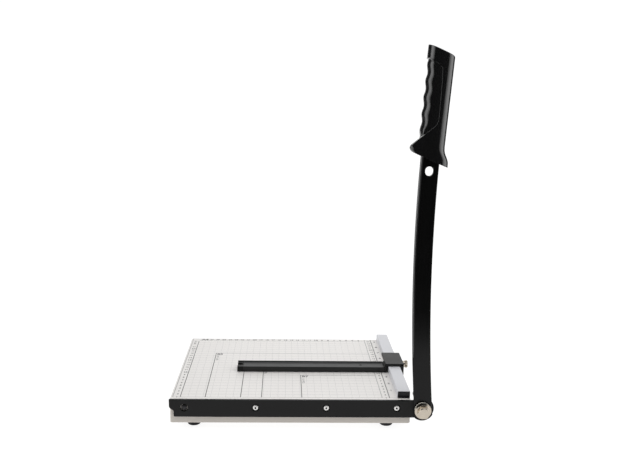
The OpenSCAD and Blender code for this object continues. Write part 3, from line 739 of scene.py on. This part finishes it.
def bar_screws():
    """Button-head screws, whose hexagonal sockets are coloured near-black inside as painted shade."""
    seat, head_r, head_h, socket_r, shank_r, shank_end = 2.6, 3.85, 2.4, 1.55, 2.0, 12.0
    flat_r, top = socket_r * 1.22, seat - head_h
    turns = [pi / 2 * k / 6 for k in range(7)]
    profile = [(0, shank_end), (shank_r - 0.3, shank_end), (shank_r, shank_end - 0.3), (shank_r, seat)]
    profile += [(head_r - 0.15, seat), (head_r, seat - 0.15)]
    profile += [(flat_r + (head_r - flat_r) * cos(t), seat - head_h * (0.38 + 0.62 * sin(t))) for t in turns]
    profile += [(socket_r * 1.16, top), (socket_r, top + 0.15, 1.0), (socket_r, top + 1.5, 1.0)]
    profile += [(socket_r * 0.55, top + 1.9), (0, top + 2.0)]
    for name, x in zip(("left", "middle", "right"), SCREW_XS):
        bm = bmesh.new()
        lathe(bm, profile, (x, 0, AXIS_Z), "y", 48, radius=hexagon)
        # Faces inside the socket take the second material, a painted shade
        for face in bm.faces:
            centre = face.calc_center_median()
            if hypot(centre.x - x, centre.z - AXIS_Z) < 1.5 and 0.62 < centre.y < 3.5:
                face.material_index = 1
        stands_for = ("bar_screw_" + name,)
        piece("bar_button_screw_" + name, bm, "table", "bright_screw", stands_for, [SOCKET_PAINTED_SHADE], 30)


bar_screws()

# ---------------------------------------------------------------- fence

FENCE_X0, FENCE_X1 = 143.0, 160.0
FENCE_Y0, FENCE_Y1 = 9.8, 250.2
FENCE_TOP = TOP_Z + 9.5


def fence_channel():
    bm = bmesh.new()
    wall = 1.5
    x0, x1, z0, z1 = FENCE_X0, FENCE_X1, TOP_Z, FENCE_TOP
    section = [(x0, z0), (x0 + wall, z0), (x0 + wall, z1 - wall), (x1 - wall, z1 - wall)]
    section += [(x1 - wall, z0), (x1, z0), (x1, z1), (x0, z1)]
    points = fillet(section, [0.15, 0.15, 0.4, 0.4, 0.15, 0.15, 0.7, 0.7], 4)
    slab(bm, points, FENCE_Y0, FENCE_Y1, 0.15, along_y, 2)
    piece("fence_channel", bm, "table", "fence_enamel", ("fence_rail",), flat_angle=40)


def fence_cap(name, outside, inside):
    """End cap: a thin plate with a shallow sunk field, on a plug inside the channel."""
    bm = bmesh.new()
    inwards = 1 if inside > outside else -1
    plug_length = 22.0

    def loop(d, depth):
        """The plate's outline, d in from its edge and depth in from its face."""
        x0, x1, z0, z1 = FENCE_X0 + 0.4 + d, FENCE_X1 - 0.4 - d, TOP_Z + d, FENCE_TOP - 0.4 - d
        corners = [(x0, z0), (x1, z0), (x1, z1), (x0, z1)]
        return [(p[0], p[1], outside + inwards * depth) for p in fillet(corners, max(0.3, 0.7 - d), 4)]

    def plug(y):
        x0, x1, z1 = FENCE_X0 + 1.6, FENCE_X1 - 1.6, FENCE_TOP - 1.6
        return [(p[0], p[1], y) for p in fillet([(x0, TOP_Z), (x1, TOP_Z), (x1, z1), (x0, z1)], 0.7, 4)]

    edge = ((2.2, 0.75), (1.6, 0.7), (1.35, 0.1), (1.15, 0.0), (0.55, 0.0), (0.16, 0.16), (0.0, 0.55))
    rings = [loop(d, depth) for d, depth in edge] + [loop(0.0, abs(inside - outside))]
    solid(bm, [rings + [plug(inside), plug(inside + inwards * plug_length)]], along_y)
    piece("fence_cap_" + name, bm, "table", "black_plastic", ("fence_%s_cap" % name,), flat_angle=35)


fence_channel()
fence_cap("front", FENCE_Y0 - 1.0, FENCE_Y0)
fence_cap("rear", FENCE_Y1 + 0.8, FENCE_Y1)

# ---------------------------------------------------------------- back guide

GUIDE_Y, GUIDE_D = 102.8, 22.7
GUIDE_Y1, GUIDE_MIDDLE = GUIDE_Y + GUIDE_D, GUIDE_Y + 11.35
GUIDE_Z0, GUIDE_TOP = TOP_Z + 0.4, TOP_Z + 8.0
GUIDE_X0, END_LEN, BAR_END_X = -77.4, 9.0, 136.2
RIB_T, RIB_H = 2.1, 1.1
GROOVE_Z = GUIDE_TOP - 0.5
CLAMP_AT = (126.8, 47.2)  # Y and Z of the thumb screw


def guide_section(end=0.0, notch=()):
    """Section of the guide bar, pulled in by end. notch holds points that go into its groove."""
    y0, y1, rib_y = GUIDE_Y + end, GUIDE_Y1 - end, GUIDE_Y1 - RIB_T
    z0, t, rib = GUIDE_Z0 + end, GUIDE_TOP - end, GUIDE_TOP + RIB_H - end
    body = [(y0, z0), (y1, z0), (y1, rib), (rib_y, rib), (rib_y, t), (GUIDE_Y + 16.7, t)]
    groove = [(GUIDE_Y + 16.2, GROOVE_Z - end), *notch, (GUIDE_Y + 6.2, GROOVE_Z - end)]
    return body + groove + [(GUIDE_Y + 5.7, t), (y0, t)]


def guide_rail():
    bm = bmesh.new()
    section = fillet(guide_section(), [0.3, 0.3, 0.5, 0.5, 0.3, 0.15, 0.2, 0.2, 0.15, 0.7], 3)
    slab(bm, section, GUIDE_X0 + END_LEN + 0.02, BAR_END_X, 0.12, along_x, 2)
    piece("guide_rail", bm, "guide", "guide_grey", ("guide_bar",), flat_angle=35)


def guide_end():
    """End of the guide bar, with a round thumb notch that opens to the left."""
    bm = bmesh.new()
    half, straight, deep, edge = 4.3, 4.2, 1.5, 0.45
    round_xs = [straight + half * sin(radians(a)) for a in (15, 30, 45, 60, 72, 82, 88)]
    radii = [0.3, 0.3, 0.4, 0.3, 0.3, 0.15, 0.1, 0, 0, 0, 0, 0.1, 0.15, 0.7]
    rows = []
    for x in [0.0, 0.06, 0.2, edge, 2.0, straight] + round_xs + [END_LEN - 0.12, END_LEN]:
        end = edge * (1 - sqrt(max(0.0, 1 - (1 - min(1.0, x / edge)) ** 2)))
        h = sqrt(max(0.0004, half**2 - max(0.0, x - straight) ** 2))
        notch = [(GUIDE_MIDDLE + h, GROOVE_Z - end), (GUIDE_MIDDLE + h * 0.94, GROOVE_Z - deep)]
        notch += [(GUIDE_MIDDLE - h * 0.94, GROOVE_Z - deep), (GUIDE_MIDDLE - h, GROOVE_Z - end)]
        outline = fillet(guide_section(end, notch), radii, 3)
        rows.append([bm.verts.new((GUIDE_X0 + x, y, z)) for y, z in outline])
    skin(bm, rows)
    bm.faces.new(rows[0])
    bm.faces.new(rows[-1])
    piece("guide_end", bm, "guide", "guide_black", ("guide_end_piece",), flat_angle=35)


def guide_head():
    """Sliding head: a plate over the fence, a leg outside it, a fairing to the bar and a tongue inside it."""
    bm = bmesh.new()
    x0, x1, y0, y1 = 138.6, 165.7, 102.2, 151.4
    leg_x, leg_z = 161.2, 36.5
    z0, z1 = 52.4, 56.1
    block(bm, (x0, x1), (y0, y1), (z0, z1), 0.55, 1.3, along_z)
    leg = fillet([(y0, leg_z), (y1, leg_z), (y1, z1 - 0.6), (y0, z1 - 0.6)], [1.6, 1.6, 0.2, 0.2], 5)
    screw_hole = hole_rings(*CLAMP_AT, [(4.3, leg_x), (4.3, 162.9), (2.5, 162.9), (2.5, x1)])
    solid(bm, [edge_rings(leg, leg_x, x1, 0.4, 0.6), screw_hole], along_x)
    fairing = [(BAR_END_X, GUIDE_Z0), (142.6, GUIDE_Z0), (142.6, z0 + 0.5), (x0 + 0.5, z0 + 0.5)]
    fairing = fillet(fairing + [(BAR_END_X, GUIDE_TOP)], [0.2, 0.2, 0.1, 0.4, 0.5], 3)
    slab(bm, fairing, GUIDE_Y, GUIDE_Y1, 0.4, along_y)
    tongue_y, tongue_z = (GUIDE_Y + 2.1, GUIDE_Y1 - 2.1), (GUIDE_Z0 + 1.5, GUIDE_TOP - 1.8)
    block(bm, (BAR_END_X - 42, BAR_END_X + 0.3), tongue_y, tongue_z, 0.2, 0.2, along_x)
    piece("guide_head_body", bm, "guide", "guide_head_grey", ("guide_head",), flat_angle=35)


def guide_screw():
    bm = bmesh.new()
    seat, shank_r, head_r, socket_r = GROOVE_Z - 0.8, 1.6, 2.6, 0.85
    profile = [(0, -3.2), (shank_r, -3.2), (shank_r, 0), (head_r - 0.1, 0), (head_r, 0.1), (head_r, 0.7)]
    profile += [(2.35, 1.08), (1.5, 1.2), (1.05, 1.2), (socket_r, 1.1, 1.0), (socket_r, 0.35, 1.0), (0, 0.3)]
    lathe(bm, profile, (103.2, GUIDE_MIDDLE, seat), "z", 40, radius=hexagon)
    piece("guide_cap_screw", bm, "guide", "black_screw", ("guide_screw",), flat_angle=35)


def clamp():
    """The knurled thumb screw and the shoe that it presses on the fence."""
    bm = bmesh.new()
    pad_r, face_x, back_x = 4.0, 160.05, 161.55
    profile = [(0, face_x), (pad_r - 0.4, face_x), (pad_r - 0.1, face_x + 0.1), (pad_r, face_x + 0.35)]
    profile += [(pad_r, back_x - 0.25), (pad_r - 0.15, back_x - 0.05), (pad_r - 0.4, back_x), (0, back_x)]
    lathe(bm, profile, (0, *CLAMP_AT), "x", 48)
    piece("clamp_pad", bm, "shoe", "nylon", ("clamp_shoe",), flat_angle=40)

    bm = bmesh.new()
    teeth, knob_r, knob_x, face_x = 28, 5.6, 170.95, 174.6
    thread = [(0, 161.6), (2.1, 161.6), (2.45, 161.9), (2.45, 167.5)]
    neck = [(4.3, 167.5), (4.62, 167.65), (4.7, 167.95), (4.7, 170.3), (4.5, 170.7), (4.25, 170.8)]
    knob = [(4.25, knob_x), (knob_r - 0.45, knob_x, 0.6), (knob_r, knob_x + 0.4, 1.0)]
    knob += [(knob_r, face_x - 0.45, 1.0), (knob_r - 0.45, face_x, 0.6), (4.5, face_x)]
    dish = [(4.35, face_x - 0.1), (4.2, face_x - 0.25), (3.9, face_x - 0.3), (0, face_x - 0.3)]
    profile = thread + neck + knob + dish
    lathe(bm, profile, (0, *CLAMP_AT), "x", teeth * 6, radius=knurl(teeth, 0.075))
    piece("thumb_knob", bm, "thumb", "nickel", ("thumb_screw",), flat_angle=38)


guide_rail()
guide_end()
guide_head()
guide_screw()
clamp()

# ---------------------------------------------------------------- knife arm

ARM_Y0, ARM_Y1 = -3.6, -0.1
ARM_R, ARM_W = 2390.0, 24.0
ARM_CX, ARM_CZ = PIVOT_X - 20.8 + ARM_R, AXIS_Z + 216.0
ARM_TOP = AXIS_Z + 451.0
HEEL_R = 15.6


def arm_edge(z, r):
    return ARM_CX - sqrt(r * r - (z - ARM_CZ) ** 2)


def heel_point(r):
    """Where an edge of the arm runs into the round heel, and its angle on the heel in degrees."""
    low, high = AXIS_Z - HEEL_R, AXIS_Z
    for _ in range(50):
        mid = (low + high) / 2
        if hypot(arm_edge(mid, r) - PIVOT_X, mid - AXIS_Z) > HEEL_R:
            low = mid
        else:
            high = mid
    return high, degrees(atan2(high - AXIS_Z, arm_edge(high, r) - PIVOT_X)) % 360


def arm_outline():
    """Outline of the arm, and each point's bevel across and in depth with its share of ground edge."""
    (left_z, left_turn), (right_z, right_turn) = heel_point(ARM_R), heel_point(ARM_R - ARM_W)
    steps = 110
    points = arc(PIVOT_X, AXIS_Z, HEEL_R, left_turn, right_turn, 14)[:-1]
    up = [right_z + (ARM_TOP - right_z) * i / steps for i in range(steps + 1)]
    down = [ARM_TOP - (ARM_TOP - left_z) * i / steps for i in range(steps)]
    points += [(arm_edge(z, ARM_R - ARM_W), z) for z in up] + [(arm_edge(z, ARM_R), z) for z in down]
    ground_from, ground_to, fade_in, fade_out = 100.0, 480.0, 14.0, 4.0
    bevels = []
    for x, z in points:
        if x < arm_edge(z, ARM_R) + 0.5 and z > left_z + 1:
            share = min(1.0, max(0.0, (z - ground_from) / fade_in))
            share *= min(1.0, max(0.0, (ground_to - z) / fade_out))
            bevels.append((0.7 + 2.3 * share, 0.5 + 1.5 * share, share))
        elif z > AXIS_Z - 5:
            bevels.append((1.4, 0.9, 0.0))
        else:
            bevels.append((0.8, 0.6, 0.0))
    return points, bevels


def knife_arm():
    bm = bmesh.new()
    points, bevels = arm_outline()
    front = [inset(points, [b[0] * share for b in bevels]) for share in (1.0, 0.5)]
    rings = [
        [(p[0], p[1], ARM_Y0) for p in front[0]],
        [(p[0], p[1], ARM_Y0 + b[1] * (0.5 if b[2] > 0.3 else 0.2)) for p, b in zip(front[1], bevels)],
        [(p[0], p[1], ARM_Y0 + b[1]) for p, b in zip(points, bevels)],
        [(p[0], p[1], ARM_Y1 - 0.12) for p in points],
        [(p[0], p[1], ARM_Y1) for p in inset(points, 0.12)],
    ]
    eye_x, eye_z, eye_r, reach = 168.7, 349.836, 5.15, 0.8
    eye = []
    for i in range(48):
        a = -2 * pi * i / 48
        eye.append((eye_x + eye_r * cos(a), eye_z + eye_r * sin(a) + (reach if sin(a) >= 0 else -reach)))
    eye_edge = [(0.45, ARM_Y0), (0.14, ARM_Y0 + 0.12), (0.0, ARM_Y0 + 0.45)]
    eye_edge += [(0.0, ARM_Y1 - 0.2), (0.2, ARM_Y1)]
    eye_rings = [[(p[0], p[1], y) for p in inset(eye, d)] for d, y in eye_edge]
    bore = hole_rings(PIVOT_X, AXIS_Z, [(6.35, ARM_Y0), (6.05, ARM_Y0 + 0.3), (6.05, ARM_Y1)], 48)

    def ground(k, i):
        return 1 if k == 1 and bevels[i][2] > 0.4 else 0

    solid(bm, [rings, eye_rings, bore], along_y, ground)
    piece("knife_arm", bm, "arm", "blade_black", ("blade_arm",), [GROUND_STEEL], 24)


knife_arm()

# ---------------------------------------------------------------- handle

# A point of the handle is (u, t): t across the handle from its middle line towards the spine, and u along
# it, less SLANT times t, so that every cross-section lies along the slope of the handle's two ends.
HANDLE_X, HANDLE_Z = PIVOT_X - 3.1, AXIS_Z + 341.0
LEAN = radians(4)
HY0, HY1 = -14.5, 8.5
SPLIT_Y = -0.1
REAR_MOUTH_Z = AXIS_Z + 339.0
SLANT = -0.34
U_TOP, U_LOW = 124.0, -9.66
HANDLE_SCREWS = ((-2.0, 14.0), (4.5, 60.0), (3.0, 103.0))  # (t, distance along the handle)


def curve_through(*points):
    """Monotone interpolation through (u, value) pairs in rising u."""
    us, vs = zip(*points)
    slopes = [(vs[i + 1] - vs[i]) / (us[i + 1] - us[i]) for i in range(len(us) - 1)]
    middle = [0.0 if a * b <= 0 else 2 * a * b / (a + b) for a, b in zip(slopes, slopes[1:])]
    tangents = [slopes[0]] + middle + [slopes[-1]]

    def value(u):
        if u <= us[0]:
            return vs[0]
        if u >= us[-1]:
            return vs[-1]
        i = max(k for k in range(len(us) - 1) if us[k] <= u)
        h = us[i + 1] - us[i]
        s = (u - us[i]) / h
        from_left = (2 * s**3 - 3 * s**2 + 1) * vs[i] + (s**3 - 2 * s**2 + s) * h * tangents[i]
        return from_left + (-2 * s**3 + 3 * s**2) * vs[i + 1] + (s**3 - s**2) * h * tangents[i + 1]

    return value


def finger_edge(u):
    """The finger side of the grip, with its ridges."""
    along, pitch, height = u + 6.3, 20, 0.8
    return -18.4 - height * cos(2 * pi * (along - 47.4) / pitch)


# The hard body's edge on the finger side: guard, then the border of the grip, then the cap
body_left = curve_through(
    (U_LOW, -26.6), (-8.9, -28.3), (-7.4, -29.7), (-5.4, -30.3), (-2.6, -30.2), (-0.4, -29.2), (3.0, -26.7),
    (8.0, -22.8), (13.7, -18.4), (20.0, -13.2), (27.7, -6.9), (31.5, -3.9), (35.0, -1.7), (39.0, -0.4),
    (43.5, 0.2), (60.0, -0.2), (84.0, -1.0), (98.0, -1.9), (102.4, -2.7), (104.6, -4.2), (105.8, -7.0),
    (106.5, -12.0), (107.0, -17.5), (107.5, -20.0), (108.4, -20.2), (U_TOP, -20.2),
)
body_right = curve_through(
    (U_LOW, 20.7), (-4.0, 20.4), (-0.5, 19.3), (2.5, 17.6), (6.2, 15.4), (10.0, 14.3), (15.0, 14.0),
    (60.0, 13.8), (122.4, 13.5), (123.4, 13.0), (U_TOP, 12.0),
)
# Rounding of the front's edge on the finger side, across and in depth, and its wall's taper to the rear
left_corner = curve_through(
    (U_LOW, 5.5), (-6.0, 5.5), (-1.0, 1.5), (6.0, 1.1), (16.0, 0.9), (30.0, 0.5), (104.0, 0.5),
    (106.6, 1.0), (107.4, 6.0), (109.0, 8.5), (U_TOP, 8.5),
)
left_depth = curve_through(
    (U_LOW, 9.0), (-6.0, 9.0), (-1.0, 2.4), (6.0, 1.5), (16.0, 1.1), (30.0, 0.6), (104.0, 0.6),
    (106.6, 1.2), (107.4, 7.0), (109.0, 12.8), (U_TOP, 12.8),
)
left_taper = curve_through((U_LOW, 2.6), (-4.0, 2.6), (1.0, 4.0), (8.0, 4.0), (18.0, 0.0), (U_TOP, 0.0))


def handle_point(t, along, y):
    return (HANDLE_X + t * cos(LEAN) + along * sin(LEAN), y, HANDLE_Z - t * sin(LEAN) + along * cos(LEAN))


def quarter(ct, cy, rt, ry, a0, a1, steps=12, power=0.985):
    """A corner of a cross-section, a little fuller than an ellipse."""
    out = []
    for i in range(steps + 1):
        a = radians(a0 + (a1 - a0) * i / steps)
        c, s = (copysign(abs(v) ** power, v) for v in (cos(a), sin(a)))
        out.append((ct + rt * c, cy + ry * s))
    return out


def front_half(t0, t1, left, right, face, taper=0.0):
    """Front half of a cross-section, from the spine round the front to the finger side.

    left and right give each corner's (width, depth). taper pulls the finger side in towards the
    parting plane, where the section is closed.
    """
    left_r, right_r = min(left[0], (t1 - t0) * 0.4), min(right[0], (t1 - t0) - left[0] - 0.4)
    y_end, lip, base = SPLIT_Y - 0.1, 0.3, face + 0.35
    spine = quarter(t1 - right_r, base + right[1], right_r, right[1], 0.0, -90.0)
    finger = quarter(t0 + left_r, base + left[1], left_r, left[1], -90.0, -180.0)
    a, b = t0 + left_r, t1 - right_r
    crown = 0.35 * min(1.0, (b - a) / 12.0)
    middle = [(b + (a - b) * i / 8, base - crown * (1 - (i / 4 - 1) ** 2)) for i in range(1, 8)]
    end = [(t0 + taper, y_end - lip), (t0 + taper + lip, y_end)]
    return [(t1 - lip, y_end), (t1, y_end - lip)] + spine + middle + finger + end


def mirrored(pairs):
    """A front half turned into a rear half."""
    scale = (HY1 - SPLIT_Y) / (SPLIT_Y - HY0)
    return [(t, SPLIT_Y + (SPLIT_Y - y) * (scale if y < SPLIT_Y - 0.5 else 1.0)) for t, y in pairs]


def body_section(u, shrink, front):
    left, right = (left_corner(u), left_depth(u)), (11.3, 12.6)
    t0, t1, taper = body_left(u) + shrink, body_right(u) - shrink, left_taper(u)
    if front:
        return front_half(t0, t1, left, right, HY0 + shrink, taper)
    return mirrored(front_half(t0 + taper, t1, left, right, HY0 + shrink))


def grip_section(u, front):
    t1 = max(body_left(u) + 2.5, finger_edge(u) + 6.0)
    pairs = front_half(finger_edge(u), min(t1, 6.0), (9.0, 12.6), (0.3, 0.3), HY0 + 0.45)
    return pairs if front else mirrored(pairs)


def levels(low, high, fine):
    """Values from low to high, close together near both ends and within the fine spans."""
    out = [low, low + 0.15, low + 0.45]
    u = low + 1.0
    while u < high - 1.3:
        out.append(u)
        u += 0.5 if any(a < u < b for a, b in fine) else 1.4
    return out + [high - 1.0, high - 0.45, high - 0.15, high]


def loft(bm, us, section, material_of=None):
    rows = [[bm.verts.new(handle_point(t, u + SLANT * t, y)) for t, y in section(u)] for u in us]
    skin(bm, rows, material_of)
    bm.faces.new(rows[0])
    bm.faces.new(rows[-1])


def end_round(u):
    """How far a section pulls in near the handle's ends, for rounded end edges."""
    low_r, high_r = 0.45, 0.7
    a, r = (u - U_LOW, low_r) if u < U_LOW + low_r else (U_TOP - u, high_r)
    return r * (1 - sqrt(max(0.0, 1 - (1 - a / r) ** 2))) if a < r else 0.0


def cut_below(bm, z):
    bmesh.ops.recalc_face_normals(bm, faces=bm.faces)
    geometry = list(bm.verts) + list(bm.edges) + list(bm.faces)
    plane = dict(plane_co=(0, 0, z), plane_no=(0, 0, 1))
    made = bmesh.ops.bisect_plane(bm, geom=geometry, clear_inner=True, dist=1e-5, **plane)
    rim = [g for g in made["geom_cut"] if isinstance(g, bmesh.types.BMEdge)]
    bmesh.ops.holes_fill(bm, edges=rim, sides=0)


def screw_recesses(tool):
    """Counterbores over the handle's three screws, open to the rear."""
    for t, along in HANDLE_SCREWS:
        x, _, z = handle_point(t, along, 0.0)
        lathe(tool, [(0, 3.5), (4.05, 3.5), (4.05, 12.0), (0, 12.0)], (x, 0, z), "y", 40)


def handle_parts():
    body_us = levels(U_LOW, U_TOP, ((-9.0, 16.0), (26.0, 42.0), (100.0, 110.0), (120.0, 124.0)))

    def edge_material(k, i):
        """The crisp edge round the grip is coloured lighter as a painted highlight, most of all over the
        guard.
        """
        u = body_us[k]
        if not 25 <= i <= 32 or not -1.0 < u <= 104.5:
            return 0
        return 2 if u < 17.0 else 1

    halves = (("handle_front", True, "handle_front_shell"), ("handle_rear", False, "handle_rear_shell"))
    for name, front, node in halves:
        bm = bmesh.new()
        loft(bm, body_us, lambda u: body_section(u, end_round(u), front), edge_material)
        if not front:
            cut_below(bm, REAR_MOUTH_Z)
            bm = cut(bm, screw_recesses)
        piece(name, bm, "arm", "handle_gloss", (node,), [FAINT_PAINTED_HIGHLIGHT, BRIGHT_PAINTED_HIGHLIGHT], 40)
    bm = bmesh.new()
    grip_us = [6.0 + 1.0 * i for i in range(102)]
    for front in (True, False):
        loft(bm, grip_us, lambda u: grip_section(u, front))
    piece("soft_grip", bm, "arm", "grip_gloss", ("grip_insert",), flat_angle=40)


handle_parts()

# ---------------------------------------------------------------- pivot

FLANGE_Y1 = -7.55
BOLT_FACE_Y = FLANGE_Y1 - 9.6
HEX_FLATS = 14.8


def pivot_bolt():
    """Flange bolt: a shank, a round domed flange and a hexagonal head with a chamfered face."""
    bm = bmesh.new()
    y = FLANGE_Y1
    corner, face_r = HEX_FLATS / 2 / cos(pi / 6), HEX_FLATS / 2 - 0.55
    rise = tan(radians(27))
    count = 96
    turns = [2 * pi * i / count for i in range(count)]

    def row(radii, height_of):
        rings = zip(turns, radii)
        return [bm.verts.new((PIVOT_X + r * cos(t), height_of(r), AXIS_Z + r * sin(t))) for t, r in rings]

    def cap(r):
        return BOLT_FACE_Y + max(0.0, r - face_r) * rise

    def round_row(r, height):
        return row([r] * (count if r else 1), lambda _: height)

    flange = [(0, 18.0), (4.4, 18.0), (5.0, 17.4), (5.0, y), (10.6, y), (11.05, y - 0.12), (11.2, y - 0.4)]
    flange += [(11.1, y - 0.8), (10.6, y - 1.1), (9.6, y - 1.45), (corner + 0.35, y - 1.9)]
    head = [(0.12, lambda r: y - 2.05), (0.0, lambda r: y - 2.4), (0.0, lambda r: cap(r) + 0.3)]
    head += [(-0.12, lambda r: cap(r + 0.12) + 0.06), (-0.35, cap)]
    rows = [round_row(r, height) for r, height in flange]
    rows += [row([corner * hexagon(t) + more for t in turns], height_of) for more, height_of in head]
    rows += [round_row(r, cap(r)) for r in (face_r + 0.1, face_r - 0.35, 3.0, 0)]
    skin(bm, rows)
    piece("pivot_flange_bolt", bm, "table", "nickel", ("pivot_bolt",), flat_angle=22)


pivot_bolt()

# ---------------------------------------------------------------- lock


def lock_plunger():
    bm = bmesh.new()
    r, nose_y, end_y = 3.6, 0.2, 48.2
    turns = [pi / 2 * k / 7 for k in range(1, 8)]
    nose = [(0, nose_y)] + [(r * sin(t) * 0.985, nose_y + 1.55 * (1 - cos(t))) for t in turns]
    shank = [(r, 2.1), (r, end_y - 0.4), (r - 0.4, end_y), (0, end_y)]
    lathe(bm, nose + shank, (LOCK_X, 0, AXIS_Z), "y", 48)
    piece("lock_plunger", bm, "lock", "black_screw", ("lock_pin",), flat_angle=40)


lock_plunger()

# ---------------------------------------------------------------- floor, light, camera


def sheet_mesh(name, corners):
    bm = bmesh.new()
    bm.faces.new([bm.verts.new(c) for c in corners])
    return mesh_from(name, bm)


def stage_floor():
    size = 40.0
    mesh = sheet_mesh("floor", [(x * size, y * size, 0.0) for x, y in ((-1, -1), (1, -1), (1, 1), (-1, 1))])
    n = Nodes("floor_paper")
    reach = n.tree.nodes.new("ShaderNodeVectorMath")
    reach.operation = "LENGTH"
    n.put(reach.inputs[0], n.where)
    # The paper takes the part's shadows close by, and is evenly lit further away
    away = n.spread(reach.outputs["Value"], 0.0, 1.0, 0.7, 1.4)
    cloud = n.noise(3.0, 2.0)
    tint = n.blend(away, n.blend(cloud, grey(0.19), grey(0.21)), grey(0.04))
    n.set(Base_Color=tint, Roughness=n.spread(cloud, 0.85, 0.95), Specular_IOR_Level=0.1)
    n.set(Emission_Color=grey(1.0), Emission_Strength=n.spread(away, 0.88, 1.0, 0.0, 1.0))
    mesh.materials.append(n.mat)
    floor = add_object("floor", mesh)


stage_floor()


def world():
    """White all round, and a little brighter overhead."""
    w = bpy.data.worlds.new("studio")
    bpy.context.scene.world = w
    w.use_nodes = True
    tree = w.node_tree
    background = tree.nodes["Background"]
    coord = tree.nodes.new("ShaderNodeTexCoord")
    split = tree.nodes.new("ShaderNodeSeparateXYZ")
    tree.links.new(coord.outputs["Generated"], split.inputs[0])
    ramp = tree.nodes.new("ShaderNodeMapRange")
    ramp.interpolation_type = "SMOOTHSTEP"
    for key, value in (("From Min", 0.3), ("From Max", 1.0), ("To Min", 1.04), ("To Max", 1.38)):
        ramp.inputs[key].default_value = value
    tree.links.new(split.outputs["Z"], ramp.inputs["Value"])
    tree.links.new(ramp.outputs[0], background.inputs["Strength"])
    background.inputs["Color"].default_value = (1.0, 1.0, 1.0, 1.0)


world()


def flag(name, corners, level, shades=False):
    """A dark studio card that no camera sees, but reflections show. With shades it also takes light away."""
    mesh = sheet_mesh(name, corners)
    n = Nodes(name)
    glow = n.blend(n.noise(0.7, 1.0), grey(level * 0.8), grey(level * 1.2))
    n.set(Base_Color=grey(0.0), Roughness=1.0, Specular_IOR_Level=0.0)
    n.set(Emission_Color=glow, Emission_Strength=1.0)
    mesh.materials.append(n.mat)
    card = add_object(name, mesh)
    card.visible_camera = False
    card.visible_diffuse = card.visible_shadow = shades
    card.visible_transmission = card.visible_volume_scatter = False


def upright(x0, y0, x1, y1, z1):
    return ((x0, y0, 0.0), (x1, y1, 0.0), (x1, y1, z1), (x0, y0, z1))


flag("card_back_of_camera", upright(-4.0, -2.3, 4.0, -2.3, 3.2), 0.02, True)
front_floor = ((-1.1, -2.6), (1.3, -2.6), (1.3, -0.5), (-1.1, -0.5))
flag("card_table_edge", [(x, y, 0.002) for x, y in front_floor], 0.02)
flag("card_left", upright(-1.9, 0.55, -0.55, 2.6, 2.6), 0.03)
flag("card_right", upright(1.9, 0.55, 1.0, 2.6, 2.6), 0.03)


def softbox(name, where):
    light = bpy.data.lights.new(name, "AREA")
    light.shape = "RECTANGLE"
    light.size, light.size_y = 2.6, 1.5
    light.energy = 13
    obj = add_object(name, light)
    obj.location = where
    aim = Vector((0.15, 0.0, 0.4)) - Vector(where)
    obj.rotation_euler = aim.to_track_quat("-Z", "Y").to_euler()
    obj.visible_camera = False


softbox("softbox_left", (-1.75, -0.75, 0.75))
softbox("softbox_right", (2.05, -0.75, 0.75))


def camera():
    data = bpy.data.cameras.new("camera")
    data.lens = 43.76
    data.sensor_width = 36.0
    data.sensor_fit = "HORIZONTAL"
    data.clip_start = 0.01
    cam = add_object("camera", data)
    place = Matrix.Translation((-0.02954, -1.06501, 0.44752))
    pitch, yaw, roll = 0.18914, 0.03933, 0.020256
    forward = Vector((sin(yaw) * cos(pitch), cos(yaw) * cos(pitch), -sin(pitch)))
    level = Vector((cos(yaw), -sin(yaw), 0.0))
    over = level.cross(forward)
    right = level * cos(roll) + over * sin(roll)
    up = over * cos(roll) - level * sin(roll)
    cam.matrix_world = place @ Matrix((right, up, -forward)).transposed().to_4x4()
    bpy.context.scene.camera = cam


camera()
bpy.context.scene.view_settings.view_transform = "Standard"
